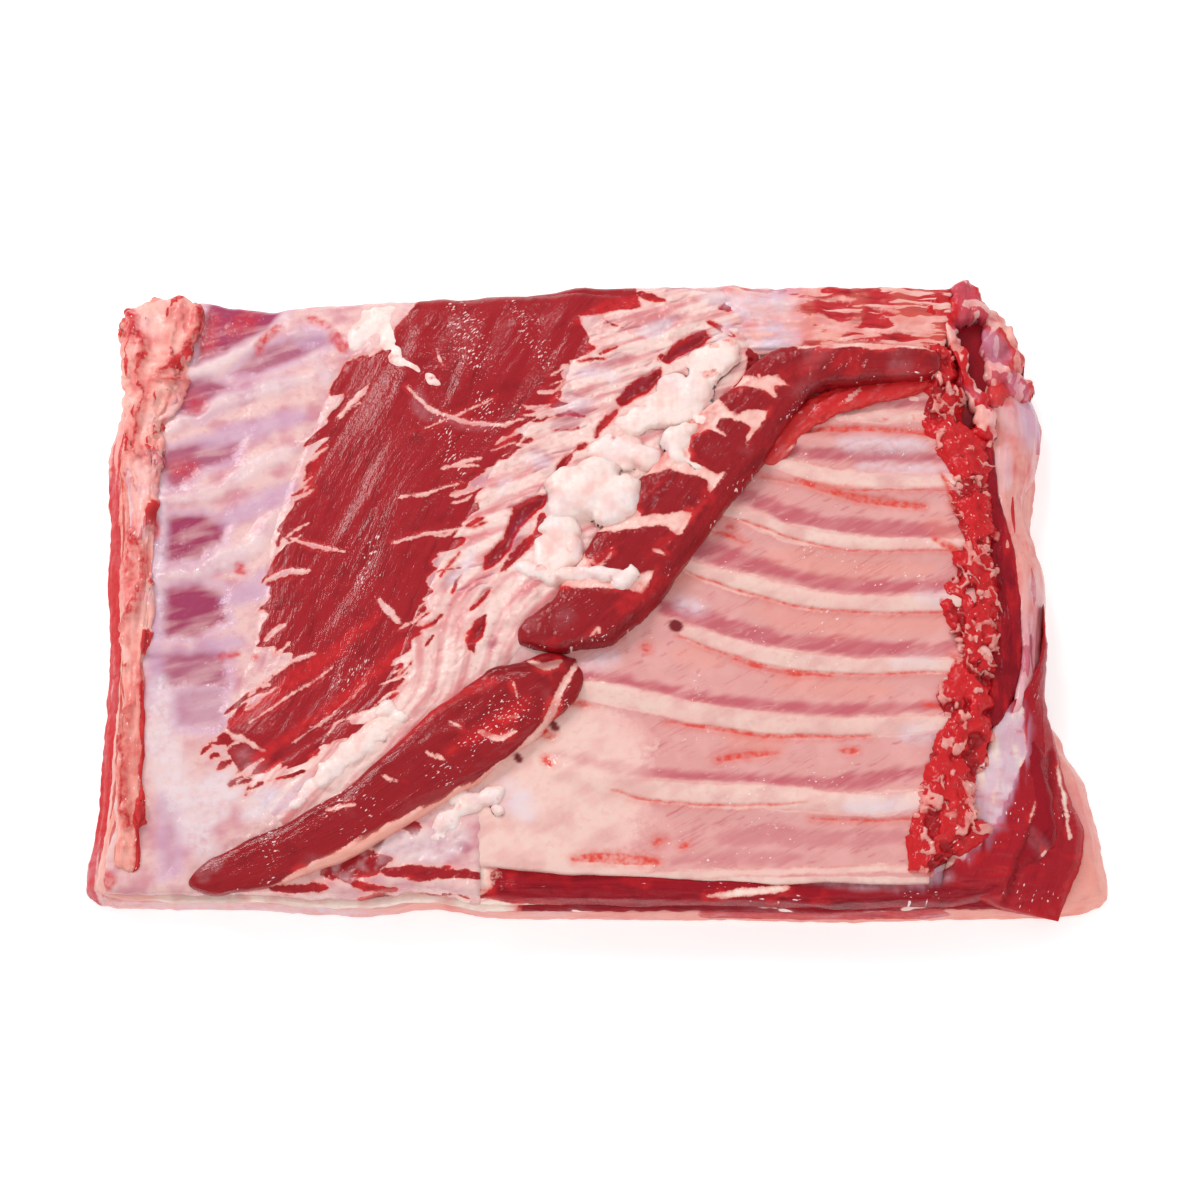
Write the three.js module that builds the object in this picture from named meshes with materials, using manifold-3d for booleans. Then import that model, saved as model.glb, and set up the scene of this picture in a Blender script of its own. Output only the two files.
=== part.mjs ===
// Raw pork ribs: a bone-in side of pork lying rind down, inner side up, as it leaves the cutting block.
//
// Millimetres. +X runs along the ribs from the belly edge to the sawn back edge, +Y from the front edge
// to the far edge, +Z up. The origin is under the middle of the piece, on the surface it lies on.
//
// From the bottom up: rind and fat, a sheet of lean, a seam of fat, a thin inner lean and the rib plate
// with its ribs. Beside the plate lies the belly fat, with the red flank muscle and a sinewy band in it.
// The skirt muscle crosses the top from corner to corner, with lumps of fat along it.

import * as THREE from "three";
import { ImprovedNoise } from "three/addons/math/ImprovedNoise.js";
import { mergeVertices } from "three/addons/utils/BufferGeometryUtils.js";
import Module from "manifold-3d";

const wasm = await Module();
wasm.setup();

// ---- Driving dimensions ----

const GAP = 0.35; // between layers and pieces that touch
const CENTRE = { x: -4.2, y: 6.1 }; // middle of the outline below, which becomes the origin
const FRONT_Y = -178;
const FAR_Y = 188;

// The seams between the layers are flat and a little lower to the left, where the belly is thin.
const seam = (height, tiltX, tiltY) => (x, y) => height + tiltX * x + tiltY * y;
const SEAM = {
  fat: seam(11, 0.006, 0),
  lean: seam(16, 0.011, 0.002),
  belly: seam(22, 0.02, 0.006),
  inner: seam(28, 0.02, 0.006),
};
const above = (plane, gap = GAP) => (x, y) => plane(x, y) + gap;

// How far the sides lean inwards for each millimetre of height.
const LEAN = { left: 0.8, right: 0.55, front: 0.2, far: 0.06 };

// Each rib: where its middle line crosses the straight right half, where it starts under the skirt,
// where its end stands out, and its width.
const RIBS = [
  { y: 119, start: 128, end: 203, width: 9 },
  { y: 105, start: 108, end: 203, width: 9 },
  { y: 88, start: 88, end: 212, width: 11 },
  { y: 62, start: 70, end: 219, width: 13 },
  { y: 26, start: 46, end: 222, width: 14 },
  { y: -8, start: 28, end: 222, width: 14 },
  { y: -44, start: 5, end: 220, width: 15 },
  { y: -80, start: -22, end: 211, width: 15 },
  { y: -127, start: -42, end: 197, width: 16 },
];
const RIB_DEPTH = 8.5; // thickness of a rib
const RIB_RELIEF = 3.4; // crest of a rib over the meat between
const BOW_STARTS = 155; // x where a rib starts to bow away from the front

const COLOUR = {
  rind: 0xe9b3a0,
  fat: 0xf0cfc2,
  lean: 0x9c2430,
  darkLean: 0x7c1622,
  membrane: 0xdfa9a4,
  rib: 0xefdcd0,
  blood: 0xb5141c,
  sinew: 0xe8d3d3,
};

// ---- Smooth numbers ----

const noise3 = new ImprovedNoise();
const lerp = THREE.MathUtils.lerp;
const smoothstep = THREE.MathUtils.smoothstep;

// Noise of one wavelength, about -1 to 1.
const rough = (x, y, size, seed) => 1.6 * noise3.noise(x / size + seed, y / size, seed * 3.7);

// A smooth curve of value against key through [key, value] pairs.
function profile(pairs) {
  return (at) => {
    const last = pairs.length - 1;
    if (at <= pairs[0][0]) return pairs[0][1];
    if (at >= pairs[last][0]) return pairs[last][1];
    const i = pairs.findIndex((pair) => pair[0] > at) - 1;
    const t = (at - pairs[i][0]) / (pairs[i + 1][0] - pairs[i][0]);
    return lerp(pairs[i][1], pairs[i + 1][1], t * t * (3 - 2 * t));
  };
}

// ---- Outline of the whole piece, seen from above ----

const leftEdge = profile([[-176, -286], [-115, -281], [-40, -281], [30, -285], [95, -289], [135, -283], [190, -285]]);
const rightEdge = profile([
  [-178, 284], [-145, 280], [-110, 274], [-84, 262], [-62, 251], [-30, 253], [5, 257], [48, 251], [82, 256],
  [112, 261], [140, 255], [165, 248], [190, 240],
]);
const frontEdge = profile([
  [-286, -176], [-205, -177], [-135, -181], [-102, -177], [-60, -182], [40, -183], [120, -184], [220, -182], [283, -175],
]);
const farEdge = profile([
  [-286, 189], [-243, 193], [-190, 186], [-135, 189], [-112, 187], [-60, 190], [20, 195], [80, 196], [115, 187],
  [150, 186], [190, 193], [214, 199], [245, 190],
]);

// A point inside the outline, for a and b from 0 to 1 across and along, drawn in by so much on each side.
function inside(a, b, inset) {
  const nearX = lerp(-286, 262, a);
  const nearY = lerp(FRONT_Y, FAR_Y, b);
  const x = lerp(leftEdge(nearY) + inset.left, rightEdge(nearY) - inset.right, a);
  const y = lerp(frontEdge(nearX) + inset.front, farEdge(nearX) - inset.far, b);
  return { x, y };
}

const leaning = (z, more = 0) => ({
  left: LEAN.left * z + more,
  right: LEAN.right * z + more,
  front: LEAN.front * z + more,
  far: LEAN.far * z + more,
});

// ---- Height of the top side, before the skirt and the lumps ----

const acrossHeight = profile([[-262, 27], [-225, 28], [-165, 32], [-100, 38], [-20, 42], [60, 42], [140, 44], [215, 47]]);

function topHeight(x, y) {
  const corner = smoothstep(-x, 130, 250) * smoothstep(-y, 70, 175);
  const farRoll = smoothstep(y, 165, 195);
  return acrossHeight(x) - 6 * corner - 4 * farRoll + 0.8 * rough(x, y, 60, 2.3);
}

// ---- Ribs and the plate they lie in ----

const bowOf = profile([
  [-170, 0.0002], [-127, 0.0006], [-80, 0.0009], [-44, 0.0018], [-8, 0.0024], [26, 0.0037], [62, 0.0055], [88, 0.003],
  [122, 0.0015],
]);
const bowed = (x, y) => y + bowOf(y) * Math.max(0, BOW_STARTS - x) ** 2;

// The plate's border under the skirt, and its sawn end.
const plateLeft = profile([
  [-178, -71], [-140, -69], [-110, -65], [-80, -58], [-40, -28], [0, 2], [40, 27], [80, 52], [120, 82], [190, 92],
]);
const plateEnd = profile([[-170, 176], [-140, 186], [-110, 197], [-80, 205], [-44, 211], [62, 211], [95, 204], [128, 198], [190, 195]]);

// Rows of the plate: one under each rib and one in each valley.
const PLATE_ROWS = [
  -169, -150, -127, -103, -80, -62, -44, -26, -8, 9, 26, 44, 62, 76, 88, 97, 105, 112, 119, 128, 150, 184,
];
const ribRows = new Set(RIBS.map((rib) => rib.y));
const plateHeight = (x, y, row) => topHeight(x, y) - (ribRows.has(row) ? 1.2 : RIB_RELIEF);

// ---- Solids ----

const bareOf = (geometry) => {
  const bare = geometry.clone();
  bare.deleteAttribute("normal");
  bare.deleteAttribute("uv");
  return mergeVertices(bare, 1e-3);
};

const solidOf = (geometry) => {
  const bare = bareOf(geometry);
  return new wasm.Manifold(
    new wasm.Mesh({
      numProp: 3,
      vertProperties: bare.attributes.position.array,
      triVerts: new Uint32Array(bare.index.array),
    }),
  );
};

function surface(positions, index) {
  const geometry = new THREE.BufferGeometry();
  geometry.setAttribute("position", new THREE.Float32BufferAttribute(positions, 3));
  geometry.setIndex(new THREE.BufferAttribute(new Uint32Array(index), 1));
  return geometry;
}

const geometryOf = (solid) => {
  const mesh = solid.getMesh();
  const positions = new Float32Array(mesh.numVert * 3);
  for (let i = 0; i < mesh.numVert; i++)
    positions.set(mesh.vertProperties.subarray(i * mesh.numProp, i * mesh.numProp + 3), i * 3);
  return surface(positions, mesh.triVerts);
};

// The same surface pushed out by one gap, for cutting a seat in a neighbour.
function grown(geometry) {
  const bare = bareOf(geometry);
  bare.computeVertexNormals();
  const position = bare.attributes.position;
  const spot = new THREE.Vector3();
  const out = new THREE.Vector3();
  for (let i = 0; i < position.count; i++) {
    out.fromBufferAttribute(bare.attributes.normal, i);
    spot.fromBufferAttribute(position, i).addScaledVector(out, 1.6 * GAP);
    position.setXYZ(i, spot.x, spot.y, spot.z);
  }
  return solidOf(bare);
}

// What is left of a piece round its neighbours. Loose scraps are dropped.
function fitted(geometry, neighbours) {
  let solid = solidOf(geometry);
  for (const neighbour of neighbours) solid = solid.subtract(grown(neighbour));
  const bodies = solid.decompose().sort((one, two) => two.volume() - one.volume());
  return geometryOf(bodies[0]);
}

const joined = (one, two) => geometryOf(solidOf(one).add(solidOf(two)));

const flatCap = (ring) => THREE.ShapeUtils.triangulateShape(ring.map((p) => new THREE.Vector2(p[0], p[1])), []);

// Way round a square with slightly rounded corners, for t from 0 to 1: a and b from 0 to 1.
function roundSquare(t) {
  const side = Math.floor(t * 4) % 4;
  const along = (t * 4 - Math.floor(t * 4)) * 2 - 1;
  const [u, v] = [[along, -1], [1, along], [-along, 1], [-1, -along]][side];
  const pull = (Math.abs(u) ** 36 + Math.abs(v) ** 36) ** (-1 / 36);
  return [0.5 + 0.5 * u * pull, 0.5 + 0.5 * v * pull];
}

// A layer that runs through the whole piece: rings of the outline, each at its own height and inset.
function layer(rings, around = 60) {
  const loops = rings.map(({ height, inset }) =>
    Array.from({ length: around }, (_, i) => {
      const [a, b] = roundSquare(i / around);
      const { x, y } = inside(a, b, inset(a, b));
      return [x, y, height(x, y)];
    }),
  );
  const index = [];
  for (let r = 0; r < loops.length - 1; r++)
    for (let i = 0; i < around; i++) {
      const [here, next] = [r * around + i, r * around + ((i + 1) % around)];
      index.push(here, next, next + around, here, next + around, here + around);
    }
  const top = (loops.length - 1) * around;
  for (const [a, b, c] of flatCap(loops[0])) index.push(a, c, b);
  for (const [a, b, c] of flatCap(loops.at(-1))) index.push(top + a, top + b, top + c);
  return surface(loops.flat(2), index);
}

// A block with a modelled top and a flat underside. place(i, j) gives the plan of a grid point,
// top(x, y, i, j) its height and under(x, y) the height of the underside.
function block({ across, along, place, top, under }) {
  const positions = [];
  const index = [];
  const at = (i, j) => j * (across + 1) + i;
  for (let j = 0; j <= along; j++)
    for (let i = 0; i <= across; i++) {
      const { x, y } = place(i, j);
      positions.push(x, y, top(x, y, i, j));
    }
  for (let j = 0; j < along; j++)
    for (let i = 0; i < across; i++)
      index.push(at(i, j), at(i + 1, j), at(i + 1, j + 1), at(i, j), at(i + 1, j + 1), at(i, j + 1));
  const rim = [];
  for (let i = 0; i < across; i++) rim.push(at(i, 0));
  for (let j = 0; j < along; j++) rim.push(at(across, j));
  for (let i = across; i > 0; i--) rim.push(at(i, along));
  for (let j = along; j > 0; j--) rim.push(at(0, j));
  const base = positions.length / 3;
  const ring = rim.map((k) => positions.slice(3 * k, 3 * k + 2));
  for (const [x, y] of ring) positions.push(x, y, under(x, y));
  rim.forEach((k, n) => {
    const next = (n + 1) % rim.length;
    index.push(base + n, base + next, rim[next], base + n, rim[next], k);
  });
  for (const [a, b, c] of flatCap(ring)) index.push(base + a, base + c, base + b);
  return surface(positions, index);
}

// A block between two border curves that run from the far edge to the front.
function between({ left, right, across, along, top, under }) {
  const borders = [left, right].map((points) => new THREE.SplineCurve(points.map(([x, y]) => new THREE.Vector2(x, y))));
  const place = (i, j) => {
    const t = 1 - j / along;
    return borders[0].getPoint(t).lerp(borders[1].getPoint(t), i / across);
  };
  return block({ across, along, place, top, under });
}

// A long piece along a path of [x, y, z]. section(t, angle) gives how far aside and up the skin is.
function sweep({ path, around, along, section }) {
  const curve = new THREE.CatmullRomCurve3(path.map(([x, y, z]) => new THREE.Vector3(x, y, z)));
  const geometry = new THREE.CylinderGeometry(1, 1, 1, around, along);
  const position = geometry.attributes.position;
  for (let i = 0; i < position.count; i++) {
    const t = THREE.MathUtils.clamp(position.getY(i) + 0.5, 0, 1);
    const reach = Math.hypot(position.getX(i), position.getZ(i));
    const [aside, up] = section(t, Math.atan2(position.getZ(i), position.getX(i)));
    const spot = curve.getPoint(t);
    const tangent = curve.getTangent(t);
    spot.addScaledVector(new THREE.Vector3(tangent.y, -tangent.x, 0).normalize(), aside * reach);
    position.setXYZ(i, spot.x, spot.y, spot.z + up * reach);
  }
  return geometry;
}

// A rounded section with a flattened underside: half width, height over the path and depth under it.
function cushion(half, height, depth, angle) {
  const [c, s] = [Math.cos(angle), Math.sin(angle)];
  const power = (v, n) => Math.sign(v) * Math.abs(v) ** n;
  return [half * power(c, 0.7), s > 0 ? height * power(s, 0.8) : depth * power(s, 0.5)];
}

// A lump of fat: a flattened ball with a knobbly skin, turned in plan.
function lump({ at, size, turn = 0, detail = 1, seed, knobs = 0.2 }) {
  const geometry = new THREE.IcosahedronGeometry(1, detail);
  const position = geometry.attributes.position;
  const spot = new THREE.Vector3();
  for (let i = 0; i < position.count; i++) {
    spot.fromBufferAttribute(position, i).normalize();
    spot.multiplyScalar(1 + knobs * rough(spot.x * 10, spot.y * 10 + spot.z * 6, 7, seed));
    spot.multiply(new THREE.Vector3(...size)).applyAxisAngle(new THREE.Vector3(0, 0, 1), turn);
    position.setXYZ(i, spot.x + at[0], spot.y + at[1], spot.z + at[2]);
  }
  return geometry;
}

// ---- The skirt muscle and its tendon ----

const skirtUpperHalf = profile([[0, 10], [0.175, 13], [0.32, 20], [0.44, 27], [0.7, 29], [0.79, 26], [0.88, 18], [1, 10]]);
const skirtUpper = sweep({
  path: [
    [199, 137, 47], [150, 137, 46], [112, 131, 45], [88, 102, 43], [59, 66, 42], [31, 28, 42], [6, -8, 41], [-20, -27, 41],
    [-46, -33, 40],
  ],
  around: 10,
  along: 18,
  section: (t, angle) => cushion(skirtUpperHalf(t), 11, 3, angle),
});

const skirtLowerHalf = profile([[0, 19], [0.1, 25], [0.3, 25], [0.44, 20], [0.56, 17], [0.78, 14], [0.89, 10], [1, 4]]);
const skirtLower = sweep({
  path: [
    [-32, -63, 40], [-48, -74, 40], [-66, -86, 39.5], [-84, -99, 39], [-108, -117, 37.5], [-132, -135, 36], [-158, -148, 33.5],
    [-184, -158, 29.5], [-208, -165, 26], [-226, -169, 23.5],
  ],
  around: 8,
  along: 16,
  section: (t, angle) => cushion(skirtLowerHalf(t), 5 + 5 * (1 - t), 3 - t, angle),
});

const skirtTendon = sweep({
  path: [[96, 76, 42], [112, 97, 43], [134, 111, 43.5], [160, 119, 44.5], [190, 126, 46]],
  around: 6,
  along: 8,
  section: (t, angle) => cushion(7 - 2 * t, 4, 2, angle),
});

// ---- Borders of the left half: belly fat, flank muscle and sinewy band ----

const FLANK_LEFT = [[-116, 184], [-141, 150], [-158, 110], [-174, 65], [-184, 20], [-190, -30], [-201, -72], [-214, -93]];
const FLANK_RIGHT = [[22, 192], [-8, 158], [-25, 120], [-58, 78], [-84, 28], [-101, -12], [-122, -62], [-194, -115]];
const BAND_RIGHT = [[88, 192], [80, 150], [60, 110], [34, 66], [4, 26], [-30, -16], [-66, -62], [-112, -106], [-176, -140]];

const flankMuscle = between({
  left: FLANK_LEFT,
  right: FLANK_RIGHT,
  across: 8,
  along: 16,
  top: (x, y, i) => topHeight(x, y) + 1.5 * Math.sin((Math.PI * i) / 8) + 0.7 * rough(x, y, 30, 5.1),
  under: above(SEAM.inner, -3),
});

const sinewBand = between({
  left: FLANK_RIGHT,
  right: BAND_RIGHT,
  across: 5,
  along: 16,
  top: (x, y) => topHeight(x, y) + 1 + 1.1 * rough(x, y, 22, 7.7),
  under: above(SEAM.inner, 0.5),
});

// ---- Border pieces ----

// The rolled edge of the belly, on top of the left side.
const rollPath = [[-266, 180], [-260, 150], [-263, 110], [-265, 60], [-264, 0], [-262, -70], [-261, -130], [-259, -160]];
const edgeRoll = sweep({
  path: rollPath.map(([x, y]) => [x, y, topHeight(x, y) - 2.5]),
  around: 8,
  along: 16,
  section: (t, angle) => {
    const thick = smoothstep(1 - t, 0.6, 0.95);
    return cushion(8 + 4 * thick + 1.2 * Math.sin(23 * t), 5 + 4 * thick, 3, angle);
  },
});

// Folds of meat and fat at the far right corner.
const cornerFold = sweep({
  path: [[213, 191, 38], [206, 172, 43], [203, 150, 45], [206, 128, 45], [212, 108, 44], [216, 92, 43]],
  around: 8,
  along: 12,
  section: (t, angle) => cushion(10 - 4 * t + 1.5 * Math.sin(9 * t), 8 - 3 * t, 9, angle),
});
const cornerFlap = sweep({
  path: [[222, 187, 34], [229, 170, 37], [231, 152, 36], [229, 132, 35], [226, 116, 35]],
  around: 8,
  along: 10,
  section: (t, angle) => cushion(11 - 3 * t, 7 - 3 * t, 5, angle),
});
const farEdgeMeat = sweep({
  path: [[84, 176, 40], [110, 170, 41], [145, 167, 42], [175, 168, 44], [196, 171, 44]],
  around: 8,
  along: 10,
  section: (t, angle) => cushion(12 + 3 * t, 5 + 1.2 * Math.sin(11 * t), 6, angle),
});

// ---- Lower layers ----

const rind = layer([
  { height: () => 0, inset: () => leaning(0, 2.5) },
  { height: () => 3, inset: () => leaning(0, 0) },
  { height: () => 7, inset: () => leaning(4, 0) },
  { height: SEAM.fat, inset: () => leaning(11, 1) },
]);

// From the lean upwards the right side steps in behind the rind near the front corner.
const cornerStep = profile([[FRONT_Y, 26], [-150, 14], [-100, 12], [-70, 3], [FAR_Y, 2]]);
const steppedInset = (z, front) => (a, b) => {
  const inset = leaning(z, 0.5);
  return { ...inset, front: inset.front + front, right: inset.right + cornerStep(lerp(FRONT_Y, FAR_Y, b)) };
};

// The lean that shows along the front under the rib plate and swells out at the right corner.
const frontLean = sweep({
  path: [
    [-92, -168, 26], [-40, -170, 27], [60, -170.5, 28], [150, -171, 28], [205, -166, 27], [236, -150, 25],
    [246, -122, 24], [246, -88, 23],
  ],
  around: 8,
  along: 24,
  section: (t, angle) => {
    const corner = smoothstep(t, 0.62, 0.82);
    const tip = smoothstep(t, 0.88, 1);
    return cushion(lerp(5, 19, corner) * (1 - 0.45 * tip), lerp(11, 12, corner) * (1 - 0.4 * tip), lerp(11, 9, corner), angle);
  },
});

const outerLean = joined(
  layer([
    { height: above(SEAM.fat), inset: steppedInset(11, 0) },
    { height: above(SEAM.fat, 2.5), inset: steppedInset(11, 0) },
    { height: SEAM.lean, inset: steppedInset(16, 0) },
  ]),
  frontLean,
);

// The fat that shows beside the ribs along the right side.
const sideFat = sweep({
  path: [[236, -76, 27], [237, -40, 28], [238, 0, 28], [235, 50, 28], [238, 100, 28], [236, 142, 28]],
  around: 8,
  along: 18,
  section: (t, angle) => {
    const [aside, up] = cushion(10 + 2 * Math.sin(8 * t), 10, 6, angle);
    return [aside, up - 0.4 * aside];
  },
});

const seamFat = fitted(
  joined(
    layer([
      { height: above(SEAM.lean), inset: steppedInset(17, 9) },
      { height: SEAM.belly, inset: steppedInset(22, 9) },
    ]),
    sideFat,
  ),
  [frontLean, cornerFlap, cornerFold, edgeRoll],
);

// ---- Upper layer: plate, ribs, torn meat at their ends, inner lean and belly fat ----

const ribs = RIBS.map((rib) =>
  sweep({
    path: [0, 0.2, 0.45, 0.75, 1].map((t) => {
      const x = lerp(rib.start, rib.end, t);
      const y = bowed(x, rib.y);
      return [x, y, topHeight(x, y) - RIB_DEPTH / 2];
    }),
    around: 6,
    along: 6,
    section: (t, angle) => {
      const size = 1 + 0.15 * smoothstep(t, 0.84, 1) * (rib.y > 70 ? -1 : 1);
      return [0.55 * rib.width * size * Math.cos(angle), 0.5 * RIB_DEPTH * size * Math.sin(angle)];
    },
  }),
);

const ribPlate = fitted(
  block({
    across: 8,
    along: PLATE_ROWS.length - 1,
    place: (i, j) => {
      const row = PLATE_ROWS[j];
      let y = row;
      let x = 0;
      for (let round = 0; round < 4; round++) {
        x = lerp(plateLeft(y), plateEnd(row), i / 8);
        y = bowed(x, row);
      }
      return { x, y };
    },
    top: (x, y, i, j) => plateHeight(x, y, PLATE_ROWS[j]),
    under: above(SEAM.inner),
  }),
  [...ribs, skirtUpper, skirtLower, skirtTendon, cornerFold, farEdgeMeat, frontLean],
);

// The ragged red meat where the ribs were freed from the backbone.
const endRows = PLATE_ROWS.slice(0, -3);
const endMeat = fitted(
  block({
    across: 3,
    along: endRows.length - 1,
    place: (i, j) => {
      const y = endRows[j];
      const width = 13 + 3 * rough(y, 0, 12, 9.4);
      return { x: plateEnd(y) + 2 * GAP + (width * i) / 3, y };
    },
    top: (x, y, i) => topHeight(x, y) - [1.5, -1, 0, 7][i] + 1.5 * rough(x, y, 14, 3.3),
    under: above(SEAM.inner, 1),
  }),
  [...ribs, cornerFold, skirtUpper, skirtTendon, frontLean, sideFat],
);

const innerLean = fitted(
  block({
    across: 3,
    along: 14,
    place: (i, j) => {
      const y = lerp(-164, 184, j / 14);
      const right = lerp(plateEnd(y) + 8, 224, smoothstep(y, -110, -60));
      return { x: lerp(plateLeft(y) + 2, right, i / 3), y };
    },
    top: SEAM.inner,
    under: above(SEAM.belly),
  }),
  [frontLean, sideFat, cornerFlap, cornerFold],
);

const bellyFat = fitted(
  block({
    across: 8,
    along: 14,
    place: (i, j) => {
      const y = lerp(FRONT_Y, FAR_Y, j / 14);
      const left = leftEdge(y) + LEAN.left * SEAM.belly(-270, y);
      const x = lerp(left, plateLeft(y) - 3, i / 8);
      return { x, y: lerp(frontEdge(x) + 6, farEdge(x) - 6, j / 14) };
    },
    top: (x, y) => topHeight(x, y) - 1.2 + Math.sin(y / 9) * smoothstep(-x, 190, 220) * smoothstep(x, -262, -240),
    under: above(SEAM.belly),
  }),
  [flankMuscle, sinewBand, edgeRoll, skirtUpper, skirtLower, frontLean, farEdgeMeat],
);

// ---- Lumps of fat, each seated on what it lies on ----

const LUMPS = {
  fat_lump_large: lump({ at: [-6, 56, 52], size: [26, 23, 7], seed: 1.3, detail: 2 }),
  fat_lump_tail: lump({ at: [-24, 22, 48], size: [13, 21, 6], seed: 2.1 }),
  fat_lump_upper: lump({ at: [38, 112, 51], size: [25, 19, 5], turn: 0.5, seed: 4.2, detail: 2 }),
  fat_lump_small: lump({ at: [42, 84, 53], size: [10, 12, 5.5], seed: 6.6 }),
  fat_lump_end: lump({ at: [-2, 6, 52], size: [22, 6, 4.5], turn: -0.05, seed: 8.1 }),
  fat_lump_far: lump({ at: [-127, 163, 38], size: [15, 22, 6.5], turn: 0.2, seed: 3.1 }),
  fat_lump_flank: lump({ at: [-134, -94, 40], size: [31, 10, 5], turn: 0.75, seed: 5.4 }),
  fat_lump_under: lump({ at: [-78, -130, 41], size: [19, 9, 5.5], turn: 0.55, seed: 7.2 }),
};

// ---- The object ----

const object = new THREE.Group();
object.position.set(-CENTRE.x, -CENTRE.y, 0);

function add(name, geometry, colour, roughness = 0.45) {
  const material = new THREE.MeshStandardMaterial({ color: colour, roughness, metalness: 0 });
  const mesh = new THREE.Mesh(geometry, material);
  mesh.name = name;
  object.add(mesh);
}

add("rind_and_fat", rind, COLOUR.rind, 0.55);
add("outer_lean", outerLean, COLOUR.darkLean);
add("seam_fat", seamFat, COLOUR.fat);
add("inner_lean", innerLean, COLOUR.darkLean);
add("belly_fat", bellyFat, COLOUR.fat);
add("flank_muscle", flankMuscle, COLOUR.lean);
add("sinew_band", fitted(sinewBand, [flankMuscle, skirtUpper, skirtLower]), COLOUR.sinew);
add("rib_plate", ribPlate, COLOUR.membrane);
ribs.forEach((rib, i) => add(`rib_${i + 1}`, fitted(rib, [skirtUpper, skirtLower, skirtTendon, cornerFold]), COLOUR.rib, 0.5));
add("rib_end_meat", endMeat, COLOUR.blood);
add("skirt_upper", skirtUpper, COLOUR.lean);
add("skirt_lower", skirtLower, COLOUR.lean);
add("skirt_tendon", fitted(skirtTendon, [skirtUpper]), COLOUR.blood);
add("edge_roll", edgeRoll, COLOUR.rind);
add("corner_fold", fitted(cornerFold, [skirtUpper]), COLOUR.lean);
add("corner_flap", fitted(cornerFlap, [cornerFold]), COLOUR.membrane);
add("far_edge_meat", fitted(farEdgeMeat, [cornerFold, skirtUpper, sinewBand]), COLOUR.lean);

const seats = [sinewBand, skirtUpper, skirtLower, flankMuscle, bellyFat, ribPlate];
for (const [name, shape] of Object.entries(LUMPS)) {
  const seated = fitted(shape, seats);
  seats.push(seated);
  add(name, seated, COLOUR.fat);
}

export default object;
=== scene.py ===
"""Raw pork ribs: a bone-in side of pork, rind down, on a pale studio floor.

Sizes are millimetres on the cutting plan until a mesh is written, in metres. On the plan, x runs along the
ribs to their sawn ends and y from the front edge to the far edge. Marks, such as fat seams and slits, are
strokes on the plan: a list of points and a width.
"""

import math

import bmesh
import bpy
import numpy as np
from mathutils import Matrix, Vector


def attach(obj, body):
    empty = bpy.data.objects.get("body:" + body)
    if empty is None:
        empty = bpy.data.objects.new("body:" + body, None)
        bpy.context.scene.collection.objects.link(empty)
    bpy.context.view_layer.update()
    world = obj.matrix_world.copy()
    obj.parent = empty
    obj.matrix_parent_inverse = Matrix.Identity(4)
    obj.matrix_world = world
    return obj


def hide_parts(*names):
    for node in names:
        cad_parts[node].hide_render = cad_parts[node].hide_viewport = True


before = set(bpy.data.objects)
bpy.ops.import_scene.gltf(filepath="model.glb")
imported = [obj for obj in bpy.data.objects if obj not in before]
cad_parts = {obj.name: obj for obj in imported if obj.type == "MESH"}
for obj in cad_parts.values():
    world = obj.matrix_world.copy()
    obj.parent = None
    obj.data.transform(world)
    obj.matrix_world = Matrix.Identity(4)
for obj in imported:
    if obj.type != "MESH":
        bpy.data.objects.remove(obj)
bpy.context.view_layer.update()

MM = 0.001
CENTRE = (-4.2, 6.1)  # the plan's middle, which is the frame's origin
FRONT_Y, FAR_Y = -178, 188

# ---------------------------------------------------------------- numbers


def smooth(value, low, high):
    """From 0 at low to 1 at high, with soft ends."""
    t = np.clip((np.asarray(value, float) - low) / (high - low), 0, 1)
    return t * t * (3 - 2 * t)


def mix(one, two, share):
    return one + (two - one) * share


def profile(*pairs):
    """A smooth curve of value against key."""
    keys, values = np.array(pairs, float).T

    def read(at):
        at = np.asarray(at, float)
        i = np.clip(np.searchsorted(keys, at) - 1, 0, len(keys) - 2)
        t = np.clip((at - keys[i]) / (keys[i + 1] - keys[i]), 0, 1)
        return mix(values[i], values[i + 1], t * t * (3 - 2 * t))

    return read


LATTICE = np.random.default_rng(7).uniform(-1, 1, (257, 257))


def rough(x, y, size, seed=0, octaves=1):
    """Smooth noise of one wavelength, or of several, about -1 to 1."""
    total, weight = 0, 0
    for octave in range(octaves):
        share = 0.5**octave
        u = np.asarray(x, float) / size * 2**octave + 17.3 * seed + 5.1 * octave
        v = np.asarray(y, float) / size * 2**octave + 9.7 * seed
        i, j = np.floor(u).astype(int), np.floor(v).astype(int)
        s, t = u - i, v - j
        s, t = s * s * (3 - 2 * s), t * t * (3 - 2 * t)
        i, j, k, m = i % 256, j % 256, (i + 1) % 256, (j + 1) % 256
        near = mix(LATTICE[i, j], LATTICE[k, j], s)
        far = mix(LATTICE[i, m], LATTICE[k, m], s)
        total = total + share * mix(near, far, t)
        weight += share
    return total / weight


def curve_points(points, per_span=6, closed=False):
    """Points of a smooth curve through the given ones."""
    p = np.array(points, float)
    ends = (p[-1:], p[:2]) if closed else (2 * p[:1] - p[1:2], 2 * p[-1:] - p[-2:-1])
    p = np.vstack([ends[0], p, ends[1]])
    t = np.linspace(0, 1, per_span, endpoint=False)[:, None]
    spans = []
    for a, b, c, d in zip(p, p[1:], p[2:], p[3:]):
        spans.append(
            0.5 * (2 * b + (c - a) * t + (2 * a - 5 * b + 4 * c - d) * t**2 + (3 * b - a - 3 * c + d) * t**3)
        )
    out = np.vstack(spans)
    return out if closed else np.vstack([out, p[-2:-1]])


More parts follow.
